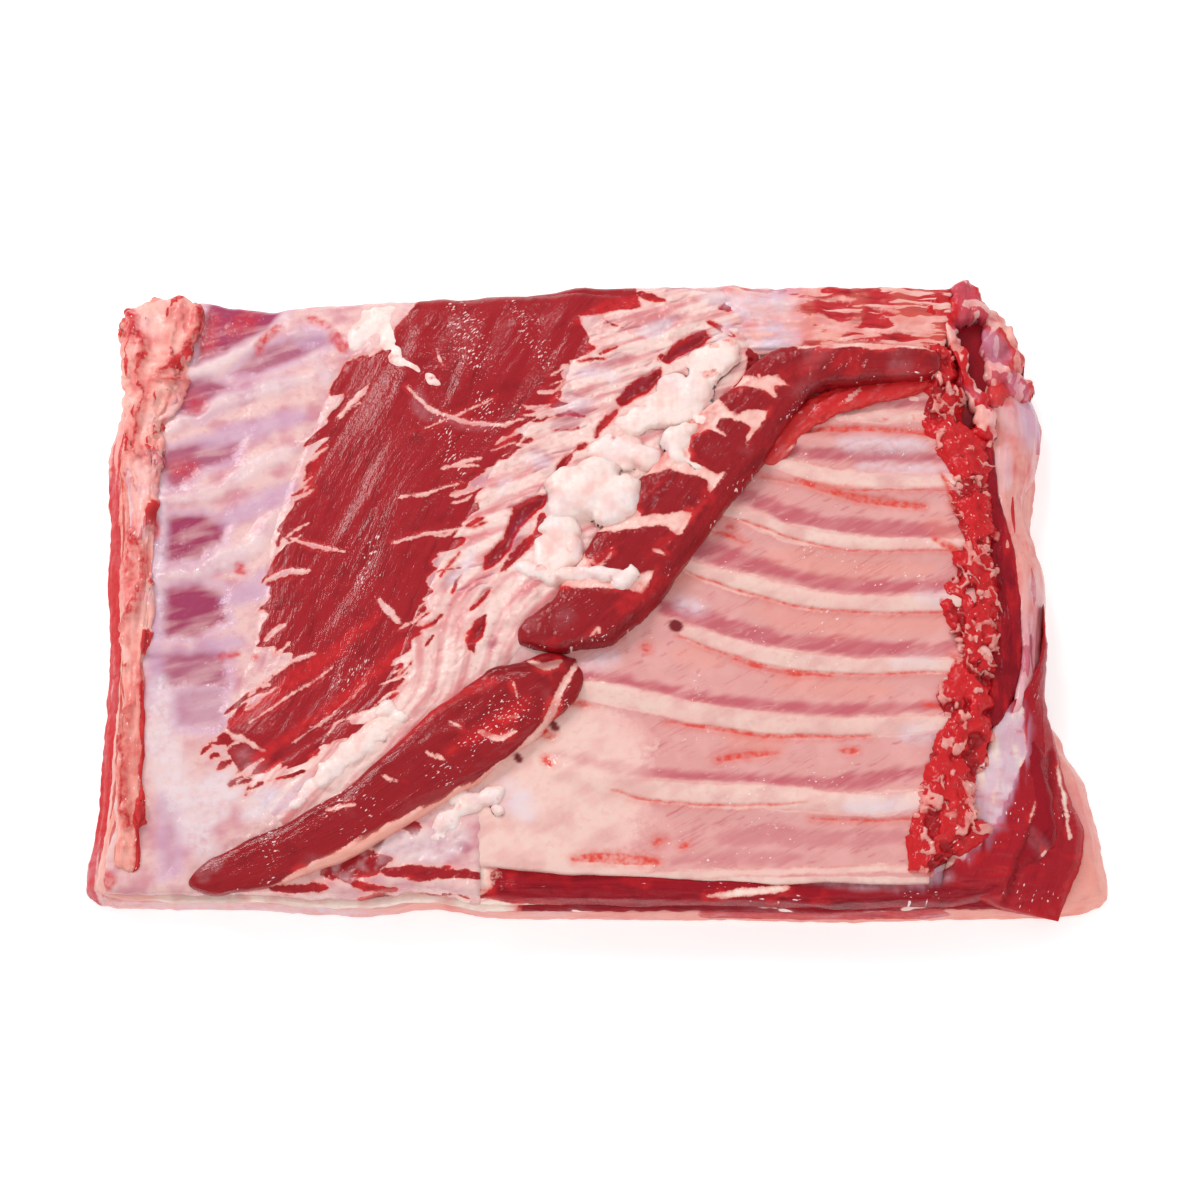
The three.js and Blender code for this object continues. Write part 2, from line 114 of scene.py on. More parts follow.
class Path:
    """A smooth path, read for t from 0 to 1."""

    def __init__(self, points):
        self.p = curve_points(points, 16)
        self.t = np.linspace(0, 1, len(self.p))
        self.length = np.linalg.norm(np.diff(self.p[:, :2], axis=0), axis=1).sum()

    def at(self, t):
        return np.stack([np.interp(t, self.t, self.p[:, k]) for k in range(self.p.shape[1])], -1)

    def side(self, t):
        """Unit direction to the right of the path."""
        step = self.at(np.clip(t + 0.01, 0, 1)) - self.at(np.clip(t - 0.01, 0, 1))
        across = np.stack([step[..., 1], -step[..., 0]], -1)
        return across / np.linalg.norm(across, axis=-1, keepdims=True)


def warped(x, y, by=1.4, size=11, seed=0):
    """Places moved a little by noise, so that what is drawn on them wanders."""
    one = by * rough(x, y, size, 201 + seed, 2)
    two = by * rough(y, x, size, 203 + seed, 2)
    return x + one, y + two


def segment_distance(x, y, points):
    """Distance of each place to the nearest stretch of a line of points."""
    best = np.full(np.shape(x), 1e9)
    for (ax, ay), (bx, by) in zip(points, points[1:]):
        dx, dy = bx - ax, by - ay
        t = np.clip(((x - ax) * dx + (y - ay) * dy) / max(dx * dx + dy * dy, 1e-9), 0, 1)
        best = np.minimum(best, np.hypot(x - ax - t * dx, y - ay - t * dy))
    return best


REACH = 9  # mm round a mark within which its distance is worked out


def stroke(x, y, points, width):
    """How far inside a stroke each place is, in mm: below 0 outside it. It thins out to its ends. A dot is a
    stroke of one point."""
    points = [tuple(p) for p in points]
    if len(points) == 1:
        line = np.array(points * 2, float)
    else:
        line = curve_points(points, 4 if len(points) > 2 else 6)
    low, high = line.min(0) - width - REACH, line.max(0) + width + REACH
    out = np.full(np.shape(x), -float(REACH))
    near = (x > low[0]) & (x < high[0]) & (y > low[1]) & (y < high[1])
    u, v, best = x[near], y[near], out[near]
    spans = len(line) - 1
    for number, ((ax, ay), (bx, by)) in enumerate(zip(line, line[1:])):
        dx, dy = bx - ax, by - ay
        t = np.clip(((u - ax) * dx + (v - ay) * dy) / max(dx * dx + dy * dy, 1e-9), 0, 1)
        along = (number + t) / spans
        half = width / 2 * (0.45 + 0.55 * np.sqrt(np.sin(math.pi * np.clip(along, 0,
            1)))) if len(points) > 1 else width / 2
        best = np.maximum(best, half - np.hypot(u - ax - t * dx, v - ay - t * dy))
    out[near] = best
    return out


def strokes(x, y, marks):
    """The deepest of several strokes, each [points, width]."""
    depth = np.full(np.shape(x), -float(REACH))
    for points, width in marks:
        depth = np.maximum(depth, stroke(x, y, points, width))
    return depth


def region(x, y, outline, ragged=0.0, grain=(1, 0), size=5.0, seed=0):
    """How far inside a closed outline each place is, in mm. A ragged one has fingers along its grain."""
    points = [tuple(p) for p in outline] + [tuple(outline[0])]
    depth = segment_distance(x, y, points)
    within = np.zeros(np.shape(x), bool)
    for (ax, ay), (bx, by) in zip(points, points[1:]):
        crosses = (ay > y) != (by > y)
        within ^= crosses & (x < ax + (y - ay) * (bx - ax) / (by - ay if by != ay else 1e-9))
    depth = np.where(within, depth, -depth)
    if ragged:
        along, across = x * grain[0] + y * grain[1], x * grain[1] - y * grain[0]
        depth = depth + ragged * rough(across, along / 5, size, seed, 2)
    return np.clip(depth, -REACH, REACH)


def fingers(line, count, grain, length, width, seed, ways=(-1, 1), spread=1.5):
    """Short strokes that start near a line and run along the grain, one way or the other."""
    draw = np.random.default_rng(seed)
    way = Path(line)
    marks = []
    for place in draw.uniform(0, 1, count):
        x, y = way.at(place) + draw.normal(0, spread, 2)
        reach = draw.uniform(*length) * draw.choice(ways)
        turn = draw.normal(0, 0.16)
        dx = grain[0] * math.cos(turn) - grain[1] * math.sin(turn)
        dy = grain[0] * math.sin(turn) + grain[1] * math.cos(turn)
        bend = draw.normal(0, 0.08) * reach
        middle = (x + dx * reach / 2 - dy * bend, y + dy * reach / 2 + dx * bend)
        marks.append([[(x, y), middle, (x + dx * reach, y + dy * reach)], draw.uniform(*width)])
    return marks


def scattered(low, high, count, grain, length, width, seed):
    """Short strokes along the grain, anywhere in a rectangle."""
    draw = np.random.default_rng(seed)
    marks = []
    for x, y in draw.uniform(low, high, (count, 2)):
        marks += fingers([(x, y), (x + 0.1, y)], 1, grain, length, width, int(draw.integers(1 << 30)))
    return marks


# ---------------------------------------------------------------- the piece's main sizes, as in the part

left_edge = profile((-176, -286), (-115, -281), (-40, -281), (30, -285), (95, -289), (135, -283), (190, -285))
right_edge = profile(
    (-178, 284), (-145, 280), (-110, 274), (-84, 262), (-62, 251), (-30, 253), (5, 257), (48, 251), (82, 256),
    (112, 261), (140, 255), (165, 248), (190, 240),
)
front_edge = profile(
    (-286, -176), (-205, -177), (-135, -181), (-102, -177), (-60, -182), (40, -183), (120, -184), (220, -182),
    (283, -175),
)
far_edge = profile(
    (-286, 189), (-243, 193), (-190, 186), (-135, 189), (-112, 187), (-60, 190), (20, 195), (80, 196),
    (115, 187),
    (150, 186), (190, 193), (214, 199), (245, 190),
)
across_height = profile((-262, 27), (-225, 28), (-165, 32), (-100, 38), (-20, 42), (60, 42), (140, 44),
    (215, 47))

LEAN_IN = {"left": 0.8, "right": 0.55, "front": 0.2, "far": 0.06}
SEAM = {
    "fat": lambda x, y: 11 + 0.006 * x,
    "lean": lambda x, y: 16 + 0.011 * x + 0.002 * y,
    "belly": lambda x, y: 22 + 0.02 * x + 0.006 * y,
    "inner": lambda x, y: 28 + 0.02 * x + 0.006 * y,
}


def seam(name, shift):
    """The seam of this name, moved up by so many millimetres, or down where it is negative."""
    return lambda x, y: SEAM[name](x, y) + shift

cross_step = profile((FRONT_Y, 26), (-150, 14), (-100, 12), (-70, 3), (FAR_Y, 2))


def top_height(x, y):
    corner = smooth(-x, 130, 250) * smooth(-y, 70, 175)
    return across_height(x) - 6 * corner - 4 * smooth(y, 165, 195) + 0.7 * rough(x, y, 55, 2)


RIBS = [  # y on the straight half, start, end, width
    (119, 128, 203, 9), (105, 108, 203, 9), (88, 88, 212, 11), (62, 70, 219, 13), (26, 46, 222, 14),
    (-8, 28, 222, 14), (-44, 5, 220, 15), (-80, -22, 211, 15), (-127, -42, 197, 16),
]
RIB_DEPTH, RIB_RELIEF, BOW_STARTS = 8.5, 3.6, 155
bow_of = profile(
    (-170, 0.0002), (-127, 0.0006), (-80, 0.0009), (-44, 0.0018), (-8, 0.0024), (26, 0.0037), (62, 0.0055),
    (88, 0.003), (122, 0.0015),
)
plate_left = profile(
    (-178, -71), (-140, -69), (-110, -65), (-80, -58), (-40, -28), (0, 2), (40, 27), (80, 52), (120, 82),
    (190, 92)
)
plate_end = profile(
    (-170, 176), (-140, 186), (-110, 197), (-80, 205), (-44, 211), (62, 211), (95, 204), (128, 198),
    (190, 195)
)


def bowed(x, row):
    return row + bow_of(row) * np.maximum(0, BOW_STARTS - x) ** 2


FLANK_LEFT = [(-116, 184), (-141, 150), (-158, 110), (-174, 65), (-184, 20), (-190, -30), (-201, -72),
    (-214, -93)]
FLANK_RIGHT = [(22, 192), (-8, 158), (-25, 120), (-58, 78), (-84, 28), (-101, -12), (-122, -62), (-194, -115)]
BAND_RIGHT = [
    (92, 192), (88, 164), (92, 146), (84, 126), (60, 106), (34, 66), (4, 26), (-30, -16), (-66, -62),
    (-112, -106), (-176, -140),
]

# ---------------------------------------------------------------- making meshes


def fill_and_close(bm):
    """Close what is open, face everything outwards."""
    rim = [e for e in bm.edges if e.is_boundary]
    bmesh.ops.holes_fill(bm, edges=rim, sides=0)
    bmesh.ops.recalc_face_normals(bm, faces=bm.faces)


def mesh_from(bm, name):
    mesh = bpy.data.meshes.new(name)
    bm.to_mesh(mesh)
    bm.free()
    return mesh


def coordinates(mesh):
    co = np.empty(len(mesh.vertices) * 3)
    mesh.vertices.foreach_get("co", co)
    return co.reshape(-1, 3)


def set_places(mesh, x, y, z):
    """Write plan places, in mm, into a mesh, in metres in the frame."""
    co = np.stack([x - CENTRE[0], y - CENTRE[1], z], -1) * MM
    mesh.vertices.foreach_set("co", co.ravel())
    mesh.update()


def set_values(mesh, **values):
    """Per-vertex values that the materials read."""
    for name, value in values.items():
        attribute = mesh.attributes.new(name, "FLOAT", "POINT")
        attribute.data.foreach_set("value", np.broadcast_to(value, len(mesh.vertices)).astype(np.float32))


def set_flow(mesh, u, v):
    """Where each place is across and along the fibres, in mm."""
    attribute = mesh.attributes.new("flow", "FLOAT_VECTOR", "POINT")
    flow = np.stack([u, v, np.zeros_like(u)], -1)
    attribute.data.foreach_set("vector", flow.astype(np.float32).ravel())


def slab_grid(name, across, along, wall_rows=4):
    """A fine sheet with walls and an underside. Returns the mesh, and for each vertex its shares across and
    along the sheet and how far down the wall it is."""
    bm = bmesh.new()
    bmesh.ops.create_grid(bm, x_segments=across, y_segments=along, size=0.5)
    rim = [e for e in bm.edges if e.is_boundary]
    for row in range(wall_rows):
        rim = [e for e in bmesh.ops.extrude_edge_only(bm, edges=rim)["geom"] if isinstance(e,
            bmesh.types.BMEdge)]
        rim = [e for e in rim if e.is_boundary]
        for v in {v for e in rim for v in e.verts}:
            v.co.z = -(row + 1) / wall_rows
    fill_and_close(bm)
    mesh = mesh_from(bm, name)
    co = coordinates(mesh)
    return mesh, co[:, 0] + 0.5, co[:, 1] + 0.5, -co[:, 2]


def drum_grid(name, around, rows):
    """A closed ring wall with flat ends: for each vertex its share around and its share up the wall."""
    bm = bmesh.new()
    bmesh.ops.create_cone(
        bm, cap_ends=True, cap_tris=False, segments=around, radius1=1, radius2=1, depth=1, calc_uvs=False
    )
    uprights = [e for e in bm.edges if abs(e.verts[0].co.z - e.verts[1].co.z) > 0.5]
    bmesh.ops.subdivide_edges(bm, edges=uprights, cuts=rows - 1, use_grid_fill=True)
    mesh = mesh_from(bm, name)
    co = coordinates(mesh)
    turn = np.arctan2(co[:, 1], co[:, 0]) / (2 * math.pi)
    return mesh, (turn + 0.625) % 1, co[:, 2] + 0.5


def show(mesh, name, nodes, material, smooth_faces=True):
    """Put a finished mesh into the scene as the piece that stands for those nodes."""
    if smooth_faces:
        mesh.shade_smooth()
    piece = bpy.data.objects.new(name, mesh)
    bpy.context.scene.collection.objects.link(piece)
    mesh.materials.append(material)
    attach(piece, "root")
    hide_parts(*nodes)
    return piece


# ---------------------------------------------------------------- materials


def colour(*rgb):
    """A picture colour, 0 to 255 a channel, as linear light."""
    share = np.array(rgb) / 255
    linear = np.where(share <= 0.04045, share / 12.92, ((share + 0.055) / 1.055) ** 2.4)
    return (*linear.tolist(), 1.0)


class Nodes:
    """Short names for placing shader nodes in one tree."""

    def __init__(self, tree):
        self.tree = tree
        self.links = tree.links

    def new(self, kind, **settings):
        node = self.tree.nodes.new(kind if kind.startswith("NodeGroup") else "ShaderNode" + kind)
        for key, value in settings.items():
            setattr(node, key, value)
        return node

    def put(self, socket, value):
        if isinstance(value, bpy.types.NodeSocket):
            self.links.new(value, socket)
        else:
            socket.default_value = value

    def math(self, operation, one, two=0.0, clamp=False):
        node = self.new("Math", operation=operation, use_clamp=clamp)
        self.put(node.inputs[0], one)
        self.put(node.inputs[1], two)
        return node.outputs[0]

    def blend(self, one, two, share, kind="MIX"):
        node = self.new("Mix", data_type="RGBA", blend_type=kind)
        self.put(node.inputs["Factor"], share)
        self.put(node.inputs["A"], one)
        self.put(node.inputs["B"], two)
        return node.outputs["Result"]

    def noise(self, vector, scale, detail=2.0, distortion=0.0):
        node = self.new("TexNoise")
        self.put(node.inputs["Vector"], vector)
        self.put(node.inputs["Scale"], scale)
        self.put(node.inputs["Detail"], detail)
        self.put(node.inputs["Distortion"], distortion)
        return node.outputs["Fac"]

    def mapped(self, vector, scale):
        node = self.new("Mapping")
        self.put(node.inputs["Vector"], vector)
        self.put(node.inputs["Scale"], scale)
        return node.outputs["Vector"]

    def span(self, value, low, high, start=0.0, end=1.0):
        node = self.new("MapRange", interpolation_type="SMOOTHSTEP")
        for socket, setting in zip(node.inputs, (value, low, high, start, end)):
            self.put(socket, setting)
        return node.outputs[0]

    def attribute(self, name, output="Fac"):
        return self.new("Attribute", attribute_name=name).outputs[output]

    def group(self, tree, **values):
        node = self.new("Group", node_tree=tree)
        for key, value in values.items():
            self.put(node.inputs[key.replace("_", " ")], value)
        return node.outputs


def node_group(name, inputs, outputs):
    """An empty shader group with named sockets: its Nodes, its input sockets and its output node."""
    tree = bpy.data.node_groups.new(name, "ShaderNodeTree")
    for label, kind in inputs.items():
        tree.interface.new_socket(name=label, in_out="INPUT", socket_type="NodeSocket" + kind)
    for label, kind in outputs.items():
        tree.interface.new_socket(name=label, in_out="OUTPUT", socket_type="NodeSocket" + kind)
    nodes = Nodes(tree)
    entry = nodes.new("NodeGroupInput")
    leave = nodes.new("NodeGroupOutput")
    return nodes, entry.outputs, leave.inputs


def make_fibre_group():
    """Muscle fibres along the flow: colour share and height, from coarse bundles to fine threads."""
    n, take, give = node_group(
        "Muscle fibres",
        {"Flow": "Vector", "Bundle": "Float", "Thread": "Float"},
        {"Share": "Float", "Bundle": "Float", "Height": "Float"},
    )
    bundle = n.noise(n.mapped(take["Flow"], (0.16, 0.018, 1)), take["Bundle"], 2)
    thread = n.noise(n.mapped(take["Flow"], (0.9, 0.05, 1)), take["Thread"], 1)
    fine = n.noise(n.mapped(take["Flow"], (2.2, 0.22, 1)), take["Thread"], 0)
    share = n.math("ADD", n.math("MULTIPLY", bundle, 0.5), n.math("MULTIPLY", thread, 0.35))
    share = n.math("ADD", share, n.math("MULTIPLY", fine, 0.15))
    n.put(give["Share"], share)
    n.put(give["Bundle"], bundle)
    height = n.math("ADD", n.math("MULTIPLY", bundle, 0.5), n.math("MULTIPLY", thread, 0.28))
    n.put(give["Height"], height)
    return n.tree


def make_ragged_group():
    """A distance to an edge, in mm, torn by noise."""
    n, take, give = node_group(
        "Ragged edge", {"Distance": "Float", "Place": "Vector", "Tear": "Float"}, {"Distance": "Float"}
    )
    wide = n.math("SUBTRACT", n.noise(take["Place"], 240, 1), 0.5)
    close = n.math("SUBTRACT", n.noise(take["Place"], 900, 1), 0.5)
    torn = n.math("ADD", n.math("MULTIPLY", wide, 2.0), close)
    n.put(give["Distance"], n.math("ADD", take["Distance"], n.math("MULTIPLY", torn, take["Tear"])))
    return n.tree


def make_mottle_group():
    """Slow and quick unevenness of colour, for fat and skin."""
    n, take, give = node_group(
        "Mottle", {"Place": "Vector", "Size": "Float"}, {"Slow": "Float", "Quick": "Float", "Grain": "Float"}
    )
    n.put(give["Slow"], n.noise(take["Place"], take["Size"], 2))
    n.put(give["Quick"], n.noise(take["Place"], n.math("MULTIPLY", take["Size"], 4.5), 2))
    n.put(give["Grain"], n.noise(take["Place"], n.math("MULTIPLY", take["Size"], 22.0), 0))
    return n.tree


FIBRES = make_fibre_group()
RAGGED = make_ragged_group()
MOTTLE = make_mottle_group()

# Colours of the real piece.
DEEP_RED = colour(116, 10, 20)
LEAN_RED = colour(160, 25, 34)
BRIGHT_RED = colour(200, 40, 42)
FLUSH = colour(240, 160, 148)
PALE_RED = colour(182, 60, 60)
BLOOD = colour(204, 34, 38)
CREAM = colour(246, 224, 212)
PINK_FAT = colour(230, 176, 166)
LILAC = colour(206, 168, 198)
PURPLE = colour(158, 58, 92)
SILVER = colour(228, 218, 230)
WARM = colour(238, 150, 128)
# near-white of the painted highlights: small glints painted into the colour
PAINTED_GLINT_WHITE = colour(250, 222, 222)


def meat_material(
    name, lean=LEAN_RED, deep=DEEP_RED, light=PALE_RED, fat=CREAM, fat_low=PINK_FAT, flush=FLUSH,
    rim=BRIGHT_RED,
    stain=PURPLE, blood=BLOOD, veil=SILVER, tear=1.3, soft=1.0, wet=0.3, fat_wet=0.36, bump=0.5, streak=0.3,
    mottle=60,
    fibre=1.0, coat=0.38,
):
    """Lean, fat and thin skin on one surface. The attributes say where: lean is the distance inside the
    lean, veil a milky skin, purple and lilac what shows through it, blood and warm a reddening, shade the
    dark of a fold and gloss how many small white highlights are painted into the colour as glints."""
    material = bpy.data.materials.new(name)
    material.use_nodes = True
    tree = material.node_tree
    tree.nodes.clear()
    n = Nodes(tree)
    place = n.new("TexCoord").outputs["Object"]
    flow = n.attribute("flow", "Vector")
    fibres = n.group(FIBRES, Flow=flow, Bundle=fibre, Thread=fibre)
    spots = n.group(MOTTLE, Place=place, Size=float(mottle))

    # lean, darker and lighter along its fibres
    red = n.blend(deep, lean, n.span(fibres["Share"], 0.26, 0.5))
    red = n.blend(red, light, n.math("MULTIPLY", n.span(fibres["Share"], 0.56, 0.8), 0.4))
    red = n.blend(red, deep, n.math("MULTIPLY", n.span(spots["Slow"], 0.52, 0.78), 0.5))
    # fat, uneven in patches and along the grain
    low = n.math("ADD", n.math("MULTIPLY", spots["Slow"], 1 - streak),
        n.math("MULTIPLY", fibres["Bundle"], streak))
    pale = n.blend(fat, fat_low, n.span(low, 0.42, 0.66))
    pale = n.blend(pale, fat_low, n.math("MULTIPLY", n.span(spots["Quick"], 0.5, 0.75), 0.4))
    # from fat through a flush of pink and bright red into the lean
    depth = n.group(RAGGED, Distance=n.attribute("lean"), Place=place, Tear=tear)["Distance"]
    depth = n.math("MULTIPLY", depth, 1 / soft)
    surface = n.blend(pale, flush, n.math("MULTIPLY", n.span(depth, -1.8, -0.2), 0.75))
    edge = n.blend(red, rim, n.span(spots["Slow"], 0.48, 0.64))
    share = n.span(depth, -0.6, 0.6)
    surface = n.blend(surface, edge, share)
    surface = n.blend(surface, red, n.span(depth, 0.6, 4.5))
    # what shows through skin, skin, stains and folds
    tint = n.math("MULTIPLY", n.attribute("purple"), n.span(fibres["Bundle"], 0.3, 0.6, 0.55, 1.05),
        clamp=True)
    surface = n.blend(surface, stain, tint)
    surface = n.blend(surface, LILAC, n.math("MULTIPLY", n.attribute("lilac"), 1.0, clamp=True))
    skin = n.span(n.math("ADD", fibres["Bundle"], spots["Quick"]), 0.75, 1.25, 0.45, 1.0)
    surface = n.blend(surface, veil, n.math("MULTIPLY", n.attribute("veil"), skin, clamp=True))
    surface = n.blend(surface, WARM, n.math("MULTIPLY", n.attribute("warm"), 0.6, clamp=True))
    drop = n.math("MULTIPLY", n.attribute("blood"), n.span(spots["Quick"], 0.3, 0.7, 0.5, 1.1), clamp=True)
    surface = n.blend(surface, blood, drop)
    dark = n.math("MULTIPLY", n.attribute("shade"), 0.8, clamp=True)
    surface = n.blend(surface, DEEP_RED, dark)
    # painted highlights: small white glints painted into the colour where the noise peaks, as many as the
    # attribute asks for
    painted_glint_spots = n.noise(n.mapped(flow, (0.8, 0.34, 1)), 1.0, 1)
    painted_glint_share = n.span(n.math("ADD", painted_glint_spots, n.math("MULTIPLY", n.attribute("gloss"), 0.12)), 0.73, 0.79,
        0.0, 0.85)
    surface = n.blend(surface, PAINTED_GLINT_WHITE, n.math("MULTIPLY", painted_glint_share, n.span(n.attribute("gloss"), 0.02, 0.3)))

    height = n.math("MULTIPLY", fibres["Height"], n.span(share, 0.0, 1.0, 0.3, 1.0))
    height = n.math("ADD", height, n.math("MULTIPLY", spots["Quick"], 0.55))
    height = n.math("ADD", height, n.math("MULTIPLY", spots["Grain"], 0.2))
    relief = n.new("Bump")
    n.put(relief.inputs["Strength"], bump)
    n.put(relief.inputs["Distance"], 0.001)
    n.put(relief.inputs["Height"], height)

    shader = n.new("BsdfPrincipled")
    n.put(shader.inputs["Base Color"], surface)
    rough_lean = n.span(spots["Quick"], 0.3, 0.7, wet - 0.06, wet + 0.1)
    rough_fat = n.span(spots["Quick"], 0.3, 0.7, fat_wet - 0.06, fat_wet + 0.12)
    gap = n.math("SUBTRACT", rough_lean, rough_fat)
    n.put(shader.inputs["Roughness"], n.math("ADD", rough_fat, n.math("MULTIPLY", gap, share)))
    n.put(shader.inputs["Normal"], relief.outputs[0])
    n.put(shader.inputs["Coat Normal"], relief.outputs[0])
    shader.inputs["Specular IOR Level"].default_value = 0.05
    shader.inputs["Subsurface Weight"].default_value = 0.1
    shader.inputs["Subsurface Radius"].default_value = (1.0, 0.35, 0.22)
    shader.inputs["Subsurface Scale"].default_value = 0.003
    shader.inputs["Coat Weight"].default_value = coat
    shader.inputs["Coat Roughness"].default_value = 0.09
    n.put(n.new("OutputMaterial").inputs["Surface"], shader.outputs[0])
    return material


# ---------------------------------------------------------------- camera, light and floor

CAMERA_DISTANCE = 1620  # mm
CAMERA_ELEVATION = math.radians(68)
CAMERA_AIM = 22  # mm above the floor
LENS, SENSOR = 85, 36
PHOTO_SIZE = 1200  # pixels
MARK_LEVEL = 42  # mm: the marks are placed as the camera sees them on this level
VIEW_SLOPE = 0.404  # how far a mark shifts, for each mm of height

# Parts of the photograph as they were enlarged to pick points on: left and top pixel, enlargement
ENLARGED = {
    "far left": (90, 270, 2.45),
    "far middle": (440, 270, 2.45),
    "far right": (760, 270, 2.8),
    "front right": (760, 600, 2.8),
}


def picked(part, level, points):
    """Plan places, in mm, of pixels read off an enlarged part of the photograph."""
    left, top, scale = ENLARGED[part]
    focal, middle = LENS / SENSOR * PHOTO_SIZE, PHOTO_SIZE / 2
    sine, cosine = math.sin(CAMERA_ELEVATION), math.cos(CAMERA_ELEVATION)
    rise = level - CAMERA_AIM
    places = []
    for across, down in points:
        aside, up = left + across / scale - middle, middle - top - down / scale
        y = (up * (CAMERA_DISTANCE - sine * rise) - focal * cosine * rise) / (focal * sine - cosine * up)
        places.append((aside * (CAMERA_DISTANCE + cosine * y - sine * rise) / focal, y))
    return places


def picked_strokes(part, marks):
    """Strokes on the marks' level, each [places, width], from picked pixels."""
    return [[picked(part, MARK_LEVEL, points), width] for points, width in marks]


def add_camera():
    """The photograph's view: a long lens, two thirds of the way up."""
    target = Vector((-CENTRE[0] * MM, -CENTRE[1] * MM, CAMERA_AIM * MM))
    back = Vector((0, -math.cos(CAMERA_ELEVATION), math.sin(CAMERA_ELEVATION)))
    camera = bpy.data.objects.new("camera", bpy.data.cameras.new("camera"))
    camera.data.lens = LENS
    camera.data.sensor_width = SENSOR
    camera.location = target + back * CAMERA_DISTANCE * MM
    camera.rotation_euler = (-back).to_track_quat("-Z", "Y").to_euler()
    bpy.context.scene.collection.objects.link(camera)
    bpy.context.scene.camera = camera


def add_light(name, size, power, place, aim=(0, 0, 0.02)):
    light = bpy.data.objects.new(name, bpy.data.lights.new(name, "AREA"))
    light.data.size = size
    light.data.energy = power
    light.location = place
    light.rotation_euler = (Vector(aim) - Vector(place)).to_track_quat("-Z", "Y").to_euler()
    bpy.context.scene.collection.objects.link(light)


def add_studio():
    add_light("key", 0.6, 16, (-1.25, 1.0, 1.35))
    add_light("fill", 1.6, 9, (0.5, -1.1, 1.6))
    add_light("spark", 0.25, 6, (-0.35, 1.4, 1.5))
    world = bpy.data.worlds.new("studio")
    bpy.context.scene.world = world
    world.use_nodes = True
    world.node_tree.nodes["Background"].inputs["Color"].default_value = (1, 1, 1, 1)
    world.node_tree.nodes["Background"].inputs["Strength"].default_value = 0.62
    bpy.context.scene.view_settings.view_transform = "Standard"

    bm = bmesh.new()
    bmesh.ops.create_circle(bm, cap_ends=True, segments=96, radius=3)
    floor = bpy.data.objects.new("floor", mesh_from(bm, "floor"))
    floor.location.z = -0.0005
    bpy.context.scene.collection.objects.link(floor)
    material = bpy.data.materials.new("floor")
    material.use_nodes = True
    n = Nodes(material.node_tree)
    shader = material.node_tree.nodes["Principled BSDF"]
    place = n.new("TexCoord").outputs["Object"]
    n.put(shader.inputs["Base Color"], n.blend((0.86, 0.86, 0.86, 1), (0.9, 0.9, 0.9, 1), n.noise(place, 3)))
    shader.inputs["Roughness"].default_value = 0.9
    shader.inputs["Emission Color"].default_value = (1, 1, 1, 1)
    shader.inputs["Emission Strength"].default_value = 0.35
    floor.data.materials.append(material)


# ---------------------------------------------------------------- shaping and painting


def seen(y, z):
    """Where the camera sees a place on the marks' own level."""
    return y + VIEW_SLOPE * (z - MARK_LEVEL)


def push_out(mesh, lift):
    """Move each vertex along its normal by so many mm."""
    normals = np.empty(len(mesh.vertices) * 3)
    mesh.vertices.foreach_get("normal", normals)
    co = coordinates(mesh) + normals.reshape(-1, 3) * np.reshape(lift, (-1, 1)) * MM
    mesh.vertices.foreach_set("co", co.ravel())
    mesh.update()


MARKS = ("lean", "veil", "purple", "lilac", "blood", "warm", "shade", "gloss")


def blank(x):
    return {key: np.zeros_like(x) for key in (*MARKS, "lift")}


def finish_piece(mesh, name, nodes, slot, material, x, y, z, flow, paint, *where):
    set_places(mesh, x, y, z)
    values = paint(x, seen(y, z), z, *where)
    push_out(mesh, values.pop("lift"))
    set_values(mesh, **values)
    set_flow(mesh, *flow)
    return show(mesh, name, nodes, material)


def sheet(name, nodes, slot, material, across, along, place, top, under, paint, taper=3.0, fade=6.0,
        size=(150, 300),
          flow=None):
    """A sheet of meat with a modelled top. It thins out over the last few mm to lie on what is below."""
    mesh, u, v, wall = slab_grid(name, across, along)
    x, y = place(u, v)
    edge = np.minimum(np.minimum(u, 1 - u) * size[0], np.minimum(v, 1 - v) * size[1])
    z = top(x, y, u, v)
    z = z - taper * (1 - np.clip(edge / fade, 0, 1)) ** 2.2
    z = mix(z, np.minimum(under(x, y), z - 0.2), wall)
    flow = flow(x, y, u, v) if flow else (u * size[0], v * size[1])
    return finish_piece(mesh, name, nodes, slot, material, x, y, z, flow, paint)


def swept(name, nodes, slot, material, path, around, along, section, paint, blunt=0.05, knob=0.05, size=9,
        seed=1):
    """A long piece along a path of (x, y, z). section(t, angle) gives how far aside and up the skin is."""
    mesh, turn, t = drum_grid(name, around, along)
    angle = turn * 2 * math.pi
    path = Path(path)
    spot, side = path.at(t), path.side(t)
    end = np.clip(np.minimum(t, 1 - t) / blunt, 0, 1)
    reach = 0.02 + 0.98 * np.sqrt(np.clip(1 - (1 - end) ** 2, 0, 1))
    aside, up = section(t, angle)
    length = path.length
    reach = reach * (1 + knob * rough(t * length, 40 * np.cos(angle) + 25 * np.sin(angle), size, seed, 3))
    x = spot[:, 0] + side[:, 0] * aside * reach
    y = spot[:, 1] + side[:, 1] * aside * reach
    z = spot[:, 2] + up * reach
    return finish_piece(mesh, name, nodes, slot, material, x, y, z, (aside * 1.2, t * length), paint, t,
        angle)


def cushion(half, height, depth, angle, flat=0.8):
    """A rounded section with a flattened underside. A low flat gives a flat top and steep sides."""
    c, s = np.cos(angle), np.sin(angle)
    aside = half * np.sign(c) * np.abs(c) ** min(0.7, flat)
    return aside, np.where(s > 0, height * np.abs(s) ** flat, -depth * np.abs(s) ** 0.5)


